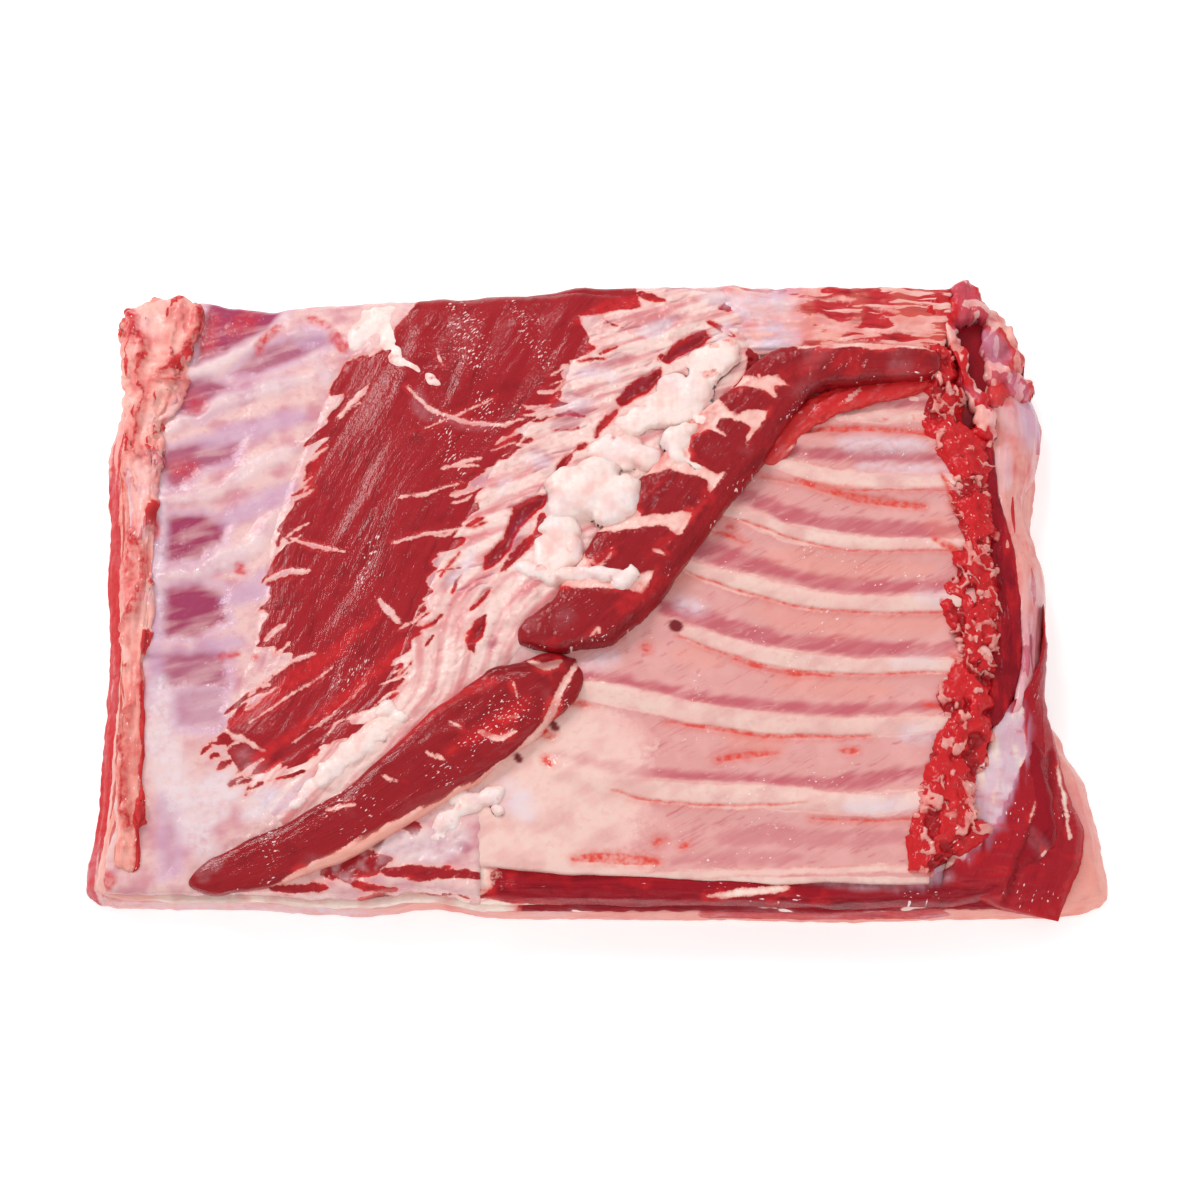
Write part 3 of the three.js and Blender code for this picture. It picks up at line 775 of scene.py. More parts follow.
def lump(name, nodes, mounds, paint, material="lump", seed=1, step=0.75, slot="fat"):
    """Fat that lies on the meat: one knobbly skin over several mounds grown into each other. A mound is its
    foot, its size and its turn."""
    feet = np.array([m[0] for m in mounds], float)
    sizes = np.array([m[1] for m in mounds], float)
    margin = sizes[:, :2].max() * 1.3
    low, high = feet[:, :2].min(0) - margin, feet[:, :2].max(0) + margin
    across, along = (int(side) for side in np.ceil((high - low) / step))
    bm = bmesh.new()
    bmesh.ops.create_grid(bm, x_segments=across, y_segments=along, size=0.5)
    mesh = mesh_from(bm, name)
    share = coordinates(mesh)[:, :2] + 0.5
    x, y = (low + share * (high - low)).T
    u, v = warped(x, y, 2.6, 10, seed)
    u, v = warped(u, v, 0.9, 4, seed + 40)
    total, inside_any = np.zeros_like(x), np.zeros(len(x), bool)
    for (px, py, pz), (sx, sy, sz), turn in mounds:
        a = (u - px) * math.cos(turn) + (v - py) * math.sin(turn)
        b = (v - py) * math.cos(turn) - (u - px) * math.sin(turn)
        r = np.hypot(a / sx, b / sy)
        rise = np.where(r < 0.98, (np.clip(1 - r * r, 0.04, 1)) ** 0.42, 0.26 - 9 * (r - 0.98) / 1.4)
        total += np.exp(1.1 * (pz - 40 + sz * rise))
        inside_any |= r < 1.22
    z = 40 + np.log(total) / 1.1
    set_places(mesh, x, y, z)
    bm = bmesh.new()
    bm.from_mesh(mesh)
    bmesh.ops.delete(bm, geom=[p for p in bm.verts if not inside_any[p.index]], context="VERTS")
    bmesh.ops.delete(bm, geom=[p for p in bm.verts if not p.link_faces], context="VERTS")
    fill_and_close(bm)
    bm.to_mesh(mesh)
    bm.free()
    x, y, z = coordinates(mesh).T / MM
    x, y = x + CENTRE[0], y + CENTRE[1]
    return finish_piece(mesh, name, nodes, slot, MATERIAL[material], x, y, z, (x, y), paint)


def between(left, right, ragged=0.0, seed=1):
    """Plan places between two border lines that run from the far edge to the front."""
    borders = Path(left), Path(right)

    def place(u, v):
        one, two = borders[0].at(1 - v), borders[1].at(1 - v)
        way = v * borders[0].length
        shift = ragged * mix(rough(way, 0, 8, seed, 3), rough(way, 0, 8, seed + 1, 3), u)
        return mix(one[:, 0], two[:, 0], u) + shift, mix(one[:, 1], two[:, 1], u)

    return place


# ------------------------------------------------------ the left half: belly fat, flank muscle, sinewy band

FLANK = [
    (-100, 194), (-112, 176), (-128, 152), (-147, 140), (-154, 122), (-156, 108), (-167, 90), (-171, 70),
    (-179, 50), (-182, 35), (-177, 22), (-187, 5), (-189, -15), (-188, -35), (-172, -45), (-190, -62),
    (-206, -78), (-217, -92), (-207, -100), (-200, -113), (-180, -114), (-165, -112), (-150, -95),
    (-125, -75), (-110, -60), (-112, -45), (-105, -30), (-95, -15), (-100, 0), (-95, 12), (-80, 30),
    (-72, 45), (-68, 55), (-72, 65), (-60, 80), (-45, 98), (-30, 112), (-22, 120), (-20, 138), (-3, 150),
    (-8, 160), (-13, 172), (25, 178), (20, 194),
]
WINDOWS = [  # meat seen through skin between the cross ridges: outline, how purple
    [
        [
            (-238, 142), (-239, 160), (-236, 178), (-232, 196), (-194, 194), (-186, 180), (-196, 166),
            (-214, 154),
        ],
        1.0,
    ],
    [
        [
            (-218, 134), (-206, 148), (-185, 158), (-164, 162), (-156, 156), (-171, 148), (-188, 142),
            (-203, 135),
        ],
        0.85,
    ],
    [[(-248, 129), (-229, 133), (-217, 126), (-229, 118), (-236, 107), (-248, 110)], 0.9],
    [
        [(-260, 74), (-251, 87), (-229, 92), (-208, 92), (-213, 79), (-233, 74), (-244, 62), (-256, 64)],
        0.85,
    ],
    [[(-260, 42), (-229, 47), (-215, 40), (-217, 28), (-229, 16), (-254, 16), (-260, 28)], 1.0],
    [[(-260, -2), (-229, 3), (-212, -4), (-212, -22), (-229, -32), (-259, -32)], 1.0],
    [[(-256, -41), (-212, -39), (-209, -60), (-250, -63)], 0.85],
    [[(-240, -64), (-212, -62), (-212, -87), (-236, -85)], 0.5],
    [[(-243, -128), (-236, -132), (-232, -150), (-234, -168), (-240, -170), (-241, -150)], 0.4],
]
WINDOW_TAILS = [
    [[(-232, 92), (-205, 98), (-174, 109)], 10],
    [[(-216, 42), (-196, 52), (-180, 61)], 11],
    [[(-213, -8), (-198, -2), (-190, 6)], 13],
    [[(-250, 10), (-226, 13), (-206, 18)], 9],
    [[(-236, 106), (-205, 124), (-182, 131)], 6],
    [[(-178, 158), (-164, 160)], 14],
    [[(-224, -36), (-205, -34)], 8],
    [[(-254, 70), (-254, 20), (-252, -30), (-250, -70)], 6],
]
WINDOW_CORES = [  # where the meat under the windows is reddest
    [[(-234, 152), (-230, 176)], 13],
    [[(-248, 73), (-236, 76)], 13],
    [[(-240, 120), (-236, 114)], 12],
    [[(-220, 166), (-206, 174)], 14],
]
LEFT_RIDGES = picked_strokes("far left", [  # pale backs of the bones under the skin
    ([(205, 262), (280, 235), (350, 200), (420, 150), (470, 110)], 7),
    ([(190, 385), (250, 345), (330, 320), (420, 285), (540, 262)], 9),
    ([(180, 565), (260, 548), (330, 525), (420, 470), (500, 430)], 10),
    ([(180, 745), (260, 738), (340, 700), (400, 670), (440, 600)], 9),
    ([(500, 150), (540, 200), (570, 270)], 8),
])
# where clusters of painted highlights, small white glints in the colour, lie on the flank
FLANK_PAINTED_GLINTS = [
    [[(-84, 182), (-78, 160), (-70, 138)], 22], [[(-70, 120), (-60, 96)], 14],
    [[(-52, 184), (-40, 160), (-30, 140)], 10], [[(-92, 108), (-86, 84), (-84, 66)], 9],
    [[(-58, 110), (-40, 108)], 8], [[(-128, 30), (-134, 4)], 10], [[(-150, -62), (-130, -46)], 10],
    [[(-160, -84), (-140, -74)], 9],
]
LEFT_VEILS = [
    [[(-248, -60), (-246, -90), (-238, -116), (-226, -140), (-216, -158)], 20],
    [[(-206, -118), (-216, -128), (-226, -142)], 26],
    [[(-180, -124), (-196, -136)], 14],
    [[(-200, -100), (-190, -112)], 10],
    [[(-254, 70), (-253, 20), (-250, -30)], 4],
]
LEFT_BLOOD = [
    [[(-206, 13)], 5], [[(-208, 11), (-203, 8)], 3], [[(-194, -43)], 4],
    [[(-203, 150), (-197, 160), (-190, 166)], 6], [[(-158, 162), (-150, 150)], 9],
    [[(-262, 98), (-260, 84)], 6], [[(-258, 45), (-256, 30)], 6], [[(-280, -172), (-270, -176)], 12],
    [[(-216, -42), (-204, -41)], 3], [[(-172, 172), (-160, 166)], 5],
]
FLANK_SINEWS = [
    [[(-116, 55), (-98, 59), (-82, 64)], 1.7],
    [[(-118, 27), (-96, 33), (-76, 36)], 2.2],
    [[(-62, 118), (-82, 108), (-101, 100)], 1.2],
    [[(-124, -8), (-118, -16), (-112, -22)], 4.5],
    [[(-152, 106), (-143, 118), (-135, 128)], 3.6],
    [[(-112, 126), (-98, 112), (-80, 104), (-60, 101), (-44, 104)], 2.8],
    [[(-130, -58), (-150, -78), (-172, -94)], 1.2],
    [[(-150, -48), (-176, -68), (-196, -82)], 1.3],
    [[(-186, -98), (-200, -92), (-214, -86)], 3.2],
    [[(-96, 150), (-92, 140)], 1.2],
    [[(-178, 30), (-160, 24), (-146, 21)], 2.2],
    [[(-190, 4), (-178, 8), (-166, 10)], 4],
    [[(-180, -52), (-170, -44), (-160, -40)], 2.6],
]
FLANK_RED = [  # fresher red along the fibres
    [[(-208, -84), (-180, -62), (-150, -40), (-126, -18)], 8],
    [[(-192, -104), (-160, -80), (-132, -58), (-110, -34)], 7],
    [[(-112, -52), (-102, -32), (-92, -10)], 6],
    [[(-88, 12), (-76, 30), (-70, 44)], 5],
    [[(-30, 112), (-20, 128), (-6, 150)], 6],
    [[(-14, 168), (8, 178), (30, 184)], 9],
    [[(-60, 84), (-48, 98)], 5],
    [[(-170, 60), (-160, 90)], 4],
]
FLANK_VEILS = [
    [[(-106, 124), (-104, 112), (-96, 108)], 10],
    [[(-98, 108), (-80, 101), (-62, 99)], 5],
]
BAND_SLITS = [  # small dark red openings in the sinewy band
    [picked("far middle", MARK_LEVEL, [(578, 258), (606, 270)]), 6],
    [picked("far middle", MARK_LEVEL, [(655, 125), (680, 140), (720, 165)]), 2.6],
    [[(-66, -22), (-70, -32)], 8], [[(-40, 30), (-46, 20)], 5], [[(-62, -2), (-72, -14)], 3],
    [picked("far middle", MARK_LEVEL, [(430, 345), (400, 380), (380, 410)]), 3.6],
    [picked("far middle", MARK_LEVEL, [(320, 450), (290, 490)]), 4.5], [[(-8, 89), (-12, 86)], 3],
]
BAND_GASHES = [  # the large ones, as outlines
    picked("far middle", MARK_LEVEL,
        [ (655, 150), (668, 165), (640, 190), (600, 205), (560, 232), (545, 225), (560, 200), (590, 170),
            (625, 155), ]),
    picked("far middle", MARK_LEVEL,
        [ (540, 240), (545, 260), (510, 300), (470, 320), (440, 338), (430, 325), (450, 290), (490, 260), ]),
    picked("far middle", MARK_LEVEL,
        [ (270, 550), (262, 575), (230, 600), (190, 640), (170, 690), (130, 730), (105, 735), (110, 700),
            (150, 660), (170, 620), (175, 580), (210, 560), ]),
]
BAND_REDS = [
    [[(22, 188), (38, 182)], 8],
    [picked("far middle", MARK_LEVEL, [(350, 430), (320, 450), (290, 490), (280, 520)]), 4],
    [[(70, 176), (88, 182)], 8], [[(37, 146), (34, 141)], 5],
    [picked("far middle", MARK_LEVEL, [(250, 600), (240, 650), (200, 690), (150, 740)]), 9],
    [[(0, 172), (14, 164), (22, 158)], 2], [[(-78, 10), (-84, -4)], 4],
    [[(-64, -18), (-72, -30), (-70, -40)], 8], [[(-30, 104), (-20, 108), (-8, 106)], 4],
    [[(-28, 97), (-12, 99)], 3], [[(88, 148), (89, 136), (80, 122)], 12],
]
BAND_PURPLES = [
    [[(-8, 110), (-18, 104), (-28, 100)], 10], [[(28, 166), (48, 170)], 8], [[(-6, 140), (18, 146)], 7],
    [[(-22, 122), (0, 126)], 6], [[(-40, 86), (-28, 80)], 6], [[(-44, 44), (-50, 22)], 8],
    [[(66, 182), (92, 180)], 9], [[(48, 150), (60, 144)], 5], [[(-88, 0), (-80, 16)], 5],
    [[(-64, -26), (-60, -36)], 8],
]
BAND_VEILS = [
    [[(24, 160), (46, 166)], 10], [[(-14, 134), (8, 132)], 10], [[(62, 184), (92, 182)], 9],
    [[(-24, 112), (-6, 116)], 7], [[(-44, 82), (-30, 76)], 6], [[(-62, 56), (-52, 66)], 6],
    [[(-84, 4), (-72, 22)], 6], [[(70, 150), (74, 166)], 8], [[(-190, -138), (-172, -126), (-156, -116)], 9],
]
BAND_RIDGES = [  # white fat that stands up
    [[(2, 152), (16, 154), (30, 150)], 8], [[(-12, 124), (2, 128)], 7], [[(-30, 108), (-40, 98)], 8],
    [[(-44, 92), (-58, 76)], 10], [[(-62, 62), (-72, 50)], 9], [[(-80, 34), (-92, 16)], 9],
    [[(-28, 40), (-36, 10), (-50, -20)], 14], [[(-60, -10), (-84, -50)], 17], [[(-90, -8), (-98, -30)], 8],
    [[(-96, -62), (-112, -76)], 12], [[(-166, -130), (-140, -106), (-112, -82)], 8],
    [[(66, 140), (60, 126)], 12], [[(0, 120), (16, 108)], 8], [[(40, 158), (56, 170)], 7],
    [[(14, 172), (30, 174)], 6], [[(78, 158), (84, 142)], 9],
]
LOWER_CENTRE = [  # meat under the skirt, in front
    [[(-118, -166), (-96, -168), (-66, -171)], 7],
    [[(-110, -132), (-100, -146)], 8],
    [[(-190, -173), (-172, -178), (-150, -178)], 6], [[(-134, -176), (-112, -179)], 4],
]
LOWER_PATCH = [
    (-156, -163), (-142, -156), (-124, -155), (-114, -161), (-124, -170), (-136, -175), (-150, -172),
]
LOWER_PURPLE = [[[(-118, -158), (-96, -153), (-76, -146)], 6], [[(-78, -152), (-70, -156)], 5]]
LOWER_HOLES = [[[(-124, -154), (-118, -150)], 4], [[(-60, -112), (-56, -120), (-60, -128)], 4]]
LOWER_VEILS = [[[(-118, -152), (-98, -153), (-78, -152)], 20], [[(-84, -140), (-72, -150)], 8]]

FLANK_RAGGED_LEFT = [(-140, 152), (-156, 116), (-168, 88), (-178, 50), (-184, 20), (-189, -20), (-186, -52),
    (-206, -84)]
FLANK_RAGGED_RIGHT = [(-4, 152), (-22, 124), (-44, 98), (-70, 70), (-76, 42), (-96, 10)]
FLANK_RAGGED_LOW = [(-92, 6), (-100, -28), (-112, -56), (-140, -88), (-184, -114)]
FLANK_END = [(-219, -90), (-210, -101), (-202, -113), (-184, -116)]
BAND_MIDDLE = [(56, 186), (40, 160), (16, 132), (-14, 96), (-44, 56), (-66, 14), (-84, -34)]
FAT_FINGERS = (
    fingers(FLANK_RAGGED_LEFT, 11, (0.8, 0.6), (8, 18), (1.2, 3.2), 1, (1,), 3)
    + fingers(FLANK_RAGGED_RIGHT, 16, (0.96, 0.25), (10, 26), (1.0, 2.8), 2, (-1,), 3)
    + fingers(FLANK_RAGGED_LOW, 12, (0.76, 0.64), (10, 26), (1.2, 3.2), 6, (-1, -1, 1), 3)
    + fingers(FLANK_END, 9, (0.8, 0.6), (7, 20), (1.4, 3.0), 9, (1,), 2)
)
LEAN_FINGERS = (
    fingers(FLANK_RAGGED_LEFT, 6, (0.7, 0.7), (5, 10), (1.4, 3.2), 4, (-1,), 3)
    + fingers(FLANK_RAGGED_RIGHT, 10, (0.96, 0.25), (6, 16), (1.0, 2.6), 5, (1,), 3)
    + fingers(FLANK_RAGGED_LOW, 10, (0.76, 0.64), (8, 20), (1.4, 3.2), 7, (1,), 3)
    + fingers(FLANK_END, 10, (0.8, 0.6), (4, 13), (1.8, 4.0), 10, (-1,), 2)
)
BAND_THREADS = fingers(BAND_MIDDLE, 70, (0.93, 0.36), (5, 18), (0.4, 1.1), 8, spread=15)


def paint_left(x, y, z):
    """Lean, fat and skin of the left half."""
    value = blank(x)
    x, y = warped(x, y)
    flames_left = rough(0.6 * x - 0.8 * y, (0.8 * x + 0.6 * y) / 5, 5.5, 3, 2)
    flames_right = rough(0.25 * x - 0.97 * y, (0.97 * x + 0.25 * y) / 5, 5, 4, 2)
    to_right = smooth(x - 0.62 * y, -160, -110)
    flank = region(x, y, FLANK) + 9 * mix(flames_left, flames_right, to_right) * smooth(-y, -165, -130)
    flank = np.maximum(flank, strokes(x, y, LEAN_FINGERS))
    flank = np.minimum(flank, -strokes(x, y, FAT_FINGERS))
    slits = strokes(x, y, BAND_SLITS)
    for outline in BAND_GASHES:
        slits = np.maximum(slits, region(x, y, outline))
    reds = strokes(x, y, BAND_REDS)
    sinews = strokes(x, y, FLANK_SINEWS)
    lean = np.maximum(flank, np.maximum(slits, reds - 1
        + 1.4 * rough(x * 0.7 - y * 0.7, (x + y) / 5, 4, 28, 2)))
    patch = region(x, y, LOWER_PATCH) + 2 * rough(x, y, 7, 35, 2)
    ragged = 3 * rough(x / 2.5, y * 1.5, 6, 39, 3)
    lean = np.maximum(lean, np.maximum(strokes(x, y, LOWER_CENTRE) + ragged, patch))
    lean = np.minimum(lean, -sinews)
    front_red = np.where(seen_front(x, y), 5 * rough(x, y * 3, 22, 6, 2) - 2 - 6 * smooth(-x, 190, 210),
        -REACH)
    value["lean"] = np.maximum(lean, front_red)
    in_flank = smooth(flank, -2, 1)

    # windows: purple in the middle, lilac round it
    wander = 1.6 * rough(x, y, 8, 27, 2)
    purple, halo, sunk = np.zeros_like(x), np.zeros_like(x), np.zeros_like(x)
    for outline, strong in WINDOWS:
        depth = region(x, y, outline) + wander
        purple = np.maximum(purple, strong * smooth(depth, -3.5, 3.5))
        halo = np.maximum(halo, smooth(depth, -8, 0.5))
        sunk = np.maximum(sunk, smooth(depth, -5, 5))
    cores = smooth(strokes(x, y, WINDOW_CORES) + wander, -5, 5)
    bands = smooth(strokes(x, y, WINDOW_TAILS) + wander, -6, 3)
    threads = smooth(strokes(x, y, BAND_THREADS), -0.8, 0.5)
    purples = smooth(strokes(x, y, BAND_PURPLES) + wander, -3, 3)
    purples = np.maximum(purples, smooth(strokes(x, y, LOWER_PURPLE) + wander, -2, 2))
    outside = 1 - in_flank
    value["purple"] = outside * np.maximum(np.maximum(purple, 0.25 * bands),
        np.maximum(0.6 * threads, 0.5 * purples))
    value["lilac"] = outside * np.maximum(0.65 * halo * (1 - purple), 0.6 * bands)
    backs = smooth(strokes(x, y, LEFT_RIDGES) + 3 * rough(x / 2, y, 8, 50, 2), -4, 3) * (1 - purple)
    value["lilac"] = value["lilac"] * (1 - 0.8 * backs)
    slit_dark = smooth(slits, 0.5, 4)
    value["shade"] = np.maximum(0.55 * slit_dark, smooth(strokes(x, y, LOWER_HOLES), -1, 1.5))
    veils = smooth(strokes(x, y, LEFT_VEILS) + wander, -6, 5) * 0.85
    veils = np.maximum(veils, smooth(strokes(x, y, FLANK_VEILS), -2, 3) * 0.5)
    veils = np.maximum(veils, smooth(strokes(x, y, BAND_VEILS), -4, 3) * 0.6)
    value["veil"] = np.maximum(veils, smooth(strokes(x, y, LOWER_VEILS), -3, 4) * 0.7) * (1 - 0.8 * in_flank)
    value["veil"] = np.maximum(value["veil"], 0.6 * outside * backs)
    value["veil"] = np.maximum(value["veil"],
        0.45 * smooth(patch, -1, 2) * smooth(rough(x, y, 5, 36, 2), -0.3, 0.3))
    fresh = smooth(strokes(x, y, FLANK_RED) + 2 * rough(x * 0.87 - y * 0.5, (x + y) / 6, 5, 29, 2), -2.5, 2)
    blood = np.maximum(smooth(strokes(x, y, LEFT_BLOOD), -2, 1.5) * 0.8, 0.75 * fresh * in_flank)
    value["blood"] = np.maximum(np.maximum(blood, 0.6 * cores),
        0.5 * smooth(slits, -1.5, 1) * (1 - slit_dark))

    # painted highlights on the flank: white glints in clusters, few elsewhere
    painted_glint_patches = smooth(strokes(x, y, FLANK_PAINTED_GLINTS) + 3 * rough(x, y, 9, 37, 2), -6, 5)
    value["gloss"] = in_flank * (0.08 + 0.92 * painted_glint_patches) + 0.3 * cores

    ridges = strokes(x, y, BAND_RIDGES)
    white = smooth(ridges + 2.5 * rough(x, y * 1.5, 6, 34, 2), -3.5, -0.5)
    for key in ("purple", "lilac", "veil"):
        value[key] = value[key] * (1 - white)
    lift = 1.0 * outside * backs - 1.2 * sunk - 2.6 * smooth(slits, -1.5, 3) + 0.4 * smooth(sinews, -0.8, 1.0)
    lift += outside * (1.5 * smooth(ridges, -3, 3) - 0.5 * threads)
    band = outside * smooth(x + 0.62 * (95 - y), -68, -40)
    lift += band * (0.9 * rough(x, y * 1.6, 9, 21, 3) + 0.5 * rough(x + 0.6 * y, y - x, 4, 22, 2))
    folds = smooth(y, 80, 140) * smooth(-x, -40, 0)
    lift += in_flank * (0.6 * rough(x * 0.87 - y * 0.5, (x * 0.5 + y * 0.87) / 7, 9, 23, 3))
    lift += in_flank * folds * 2.0 * rough(x - 0.3 * y, y / 4, 17, 33, 2)
    lift += outside * 0.45 * rough(x, y, 11, 24, 3)
    value["lift"] = lift
    return value


def seen_front(x, y):
    """The cut front of the belly, below its top."""
    return (y < -176 - 0.04 * (x + 200)) & (x < -60)


def belly_right(y):
    """How far to the right the belly fat shows."""
    return np.interp(y, [-178, -140, -112, -85, 20, 110, 188], [-80, -90, -150, -185, -160, -130, -90])


def belly_place(u, v):
    y = mix(FRONT_Y, FAR_Y, v)
    left = left_edge(y) + LEAN_IN["left"] * SEAM["belly"](-270, y)
    show_share = 0.86
    near = mix(left, belly_right(y), np.clip(u / show_share, 0, 1))
    x = near + np.clip((u - show_share) / (1 - show_share), 0, 1) * (plate_left(y) + 5 - belly_right(y))
    y = mix(front_edge(x) + 4, far_edge(x) - 0.5, v)
    x = x + 2.4 * rough(y, u * 9, 12, 31, 3) * smooth(u, 0.06, 0)
    return x, y + 0.9 * rough(x, v * 9, 9, 32, 2) + 3.0 * rough(x, 0, 17, 38, 3) * smooth(v, 0.03, 0)


def belly_top(x, y, u, v):
    return top_height(x, y) - 0.6


def band_flow(x, y, u, v):
    """The band's fibres run across it at the far side and along it in front."""
    turn = np.radians(mix(20, 52, smooth(-y, -30, 70)))
    return y * np.cos(turn) - x * np.sin(turn), x * np.cos(turn) + y * np.sin(turn)


def make_left_half():
    sheet("belly_fat_sheet", ["belly_fat"], "fat", MATERIAL["belly"], 228, 388, belly_place, belly_top,
          SEAM["belly"], paint_left, taper=2.5, fade=5, size=(210, 366),
          flow=lambda x, y, u, v: ((y - 0.25 * x) * 0.8, x * 1.6))
    flank_left = [(px - 9, py + 1) for px, py in FLANK_LEFT]
    flank_right = [(px + 5, py - 2) for px, py in FLANK_RIGHT]
    sheet("flank_muscle_sheet", ["flank_muscle"], "lean", MATERIAL["flank"], 180, 400,
          between(flank_left, flank_right, 1.5, 3),
          lambda x, y, u, v: top_height(x, y) + 0.3 + 1.6 * np.sin(math.pi * np.clip(u, 0, 1))
          - 4 * smooth(v, 0.09, 0),
          seam("inner", -3), paint_left, taper=2.4, fade=9, size=(130, 300),
          flow=lambda x, y, u, v: (u * 130 + 4 * rough(x, y, 40, 41), v * 300))
    band_left = [(px - 7, py + 2) for px, py in FLANK_RIGHT]
    band_right = [(px + 2, py - 2) for px, py in BAND_RIGHT]
    sheet("sinew_band_sheet", ["sinew_band"], "sinew", MATERIAL["band"], 100, 420,
          between(band_left, band_right, 3, 5),
          lambda x, y, u, v: top_height(x, y) + 1.2 + 0.5 * np.sin(math.pi * u),
          lambda x, y: SEAM["inner"](x, y),
          paint_left, taper=3.0, fade=10, size=(66, 330), flow=band_flow)


# ---------------------------------------------------------------- the rib plate

CRESTS = [  # pale backs of the ribs, as far as they show: points, width
    [[(132, 109), (150, 108), (190, 106)], 7],
    [[(95, 79), (108, 75), (128, 70), (160, 66), (207, 66)], 9],
    [[(66, 50), (87, 42), (104, 35), (116, 31.5), (144, 27), (208, 27)], 9.5],
    [[(45, 16), (58, 9.5), (87, 0.5), (113, -6.5), (137, -9.5), (170, -10), (207, -10)], 11],
    [[(48, -27), (58, -31), (87, -40), (113, -46), (144, -47), (208, -47)], 10.5],
    [[(-10, -62), (20, -67), (45, -74), (70, -79), (95, -82), (130, -84), (200, -81)], 14],
    [[(-30, -112), (10, -119), (50, -123), (100, -125), (150, -129), (190, -124)], 13],
    [[(-70, -171), (-20, -172), (60, -169), (120, -167), (175, -165)], 4],
    [[(28, 31), (46, 32), (64, 34)], 9],
]
BANDS = [  # dark meat on the far side of each rib: points, width
    [[(142, 114), (165, 117), (190, 115)], 6], [[(90, 92), (110, 86), (140, 82), (205, 80)], 8],
    [[(70, 66), (84, 56), (98, 50), (116, 42), (144, 37), (183, 35), (206, 35)], 11],
    [[(40, 34), (56, 25), (70, 19), (87, 14), (104, 9)], 14],
    [[(90, 12), (115, 6), (144, 1), (183, 0), (206, 2)], 9],
    [[(34, -10), (58, -20), (87, -29), (104, -33)], 12],
    [[(90, -30), (116, -34), (144, -37), (183, -38), (204, -35)], 11],
    [
        [
            (-20, -53), (10, -56), (30, -61), (50, -66), (75, -70), (100, -73), (130, -74), (160, -73),
            (200, -69),
        ],
        8,
    ],
    [
        [(-26, -99), (0, -106), (30, -111), (60, -115), (100, -116), (130, -116), (160, -112), (190, -107)],
        8,
    ],
    [[(66, -150), (90, -147), (120, -148), (165, -148)], 11], [[(40, -162), (70, -160), (110, -160)], 7],
]
CREASES = [  # red lines under the crests: points, width
    [[(118, 98), (135, 99), (160, 99), (190, 96)], 3.5],
    [[(112, 67), (128, 61), (148, 55), (166, 52), (186, 50)], 5],
    [[(92, 69), (110, 65), (140, 60), (208, 60)], 1.0],
    [[(58, 47), (87, 39), (104, 32), (116, 28), (144, 22), (208, 23)], 1.3],
    [[(46, 12), (58, 5.5), (87, -5), (115, -12.4), (140, -15), (183, -15.9), (208, -15)], 1.4],
    [[(44, -30), (58, -36), (77, -43), (111, -51), (144, -52.5), (208, -51)], 1.5],
    [[(58, 36), (72, 32), (84, 27)], 2.5], [[(74, -44), (100, -51), (130, -54)], 3],
    [[(36, -81), (60, -84), (80, -88), (100, -90), (150, -89)], 2.6],
    [[(6, -121), (30, -127), (60, -129), (90, -129), (112, -128)], 1.4],
    [[(115, -137), (140, -138), (172, -138)], 1.8], [[(-14, -160), (8, -160), (32, -162)], 6.5],
    [[(30, -151), (36, -149)], 4], [[(44, -153), (48, -152)], 4], [[(26, -37)], 5],
    [[(64, -103), (80, -101), (98, -99)], 4], [[(134, -98), (142, -98)], 4], [[(-16, -70), (-6, -71)], 4],
    [[(-30, -102), (-28, -106)], 5], [[(-35, -85), (-26, -90)], 5], [[(72, 37), (76, 36)], 3],
    [[(196, 70), (200, 60), (202, 48)], 3], [[(190, 30), (204, 20), (206, 4)], 5],
    [[(192, -8), (202, -20)], 5], [[(196, -40), (206, -52), (206, -66)], 5], [[(180, -70), (200, -74)], 3],
]
ORANGE = [  # meat that is orange-pink instead of mauve
    [[(96, 20), (120, 15), (150, 12), (185, 12)], 11], [[(92, -14), (112, -21), (150, -24), (190, -22)], 11],
    [[(100, -58), (130, -61), (160, -62)], 9], [[(44, -40), (66, -46)], 8], [[(70, -91), (100, -95)], 8],
    [[(36, 2), (52, 6)], 9], [[(120, 64), (150, 60)], 8], [[(190, 40), (204, 30)], 9],
]
PLATE_VEILS = [
    [[(-52, -118), (-40, -135)], 14], [[(45, -10), (58, -14)], 8], [[(-8, -46), (8, -44)], 8],
    [[(140, 90), (185, 88)], 10], [[(165, -46), (186, -45)], 4], [[(135, -130), (170, -130)], 7],
    [[(180, -6), (195, -8)], 6], [[(168, -88), (184, -88)], 8], [[(150, 75), (200, 73)], 4],
]
DARK_LINES = [[[(41, -23), (43.5, -25)], 7], [[(-27, -82), (-25, -86)], 4.5], [[(-46, -100), (-44, -104)], 4]]
PLATE_FLECKS = scattered((-10, -160), (205, 100), 420, (0.87, 0.5), (2, 6.5), (0.6, 1.3), 71)
PALE_THREADS = scattered((30, -150), (205, 90), 260, (0.87, 0.5), (3, 9), (0.4, 0.8), 72)


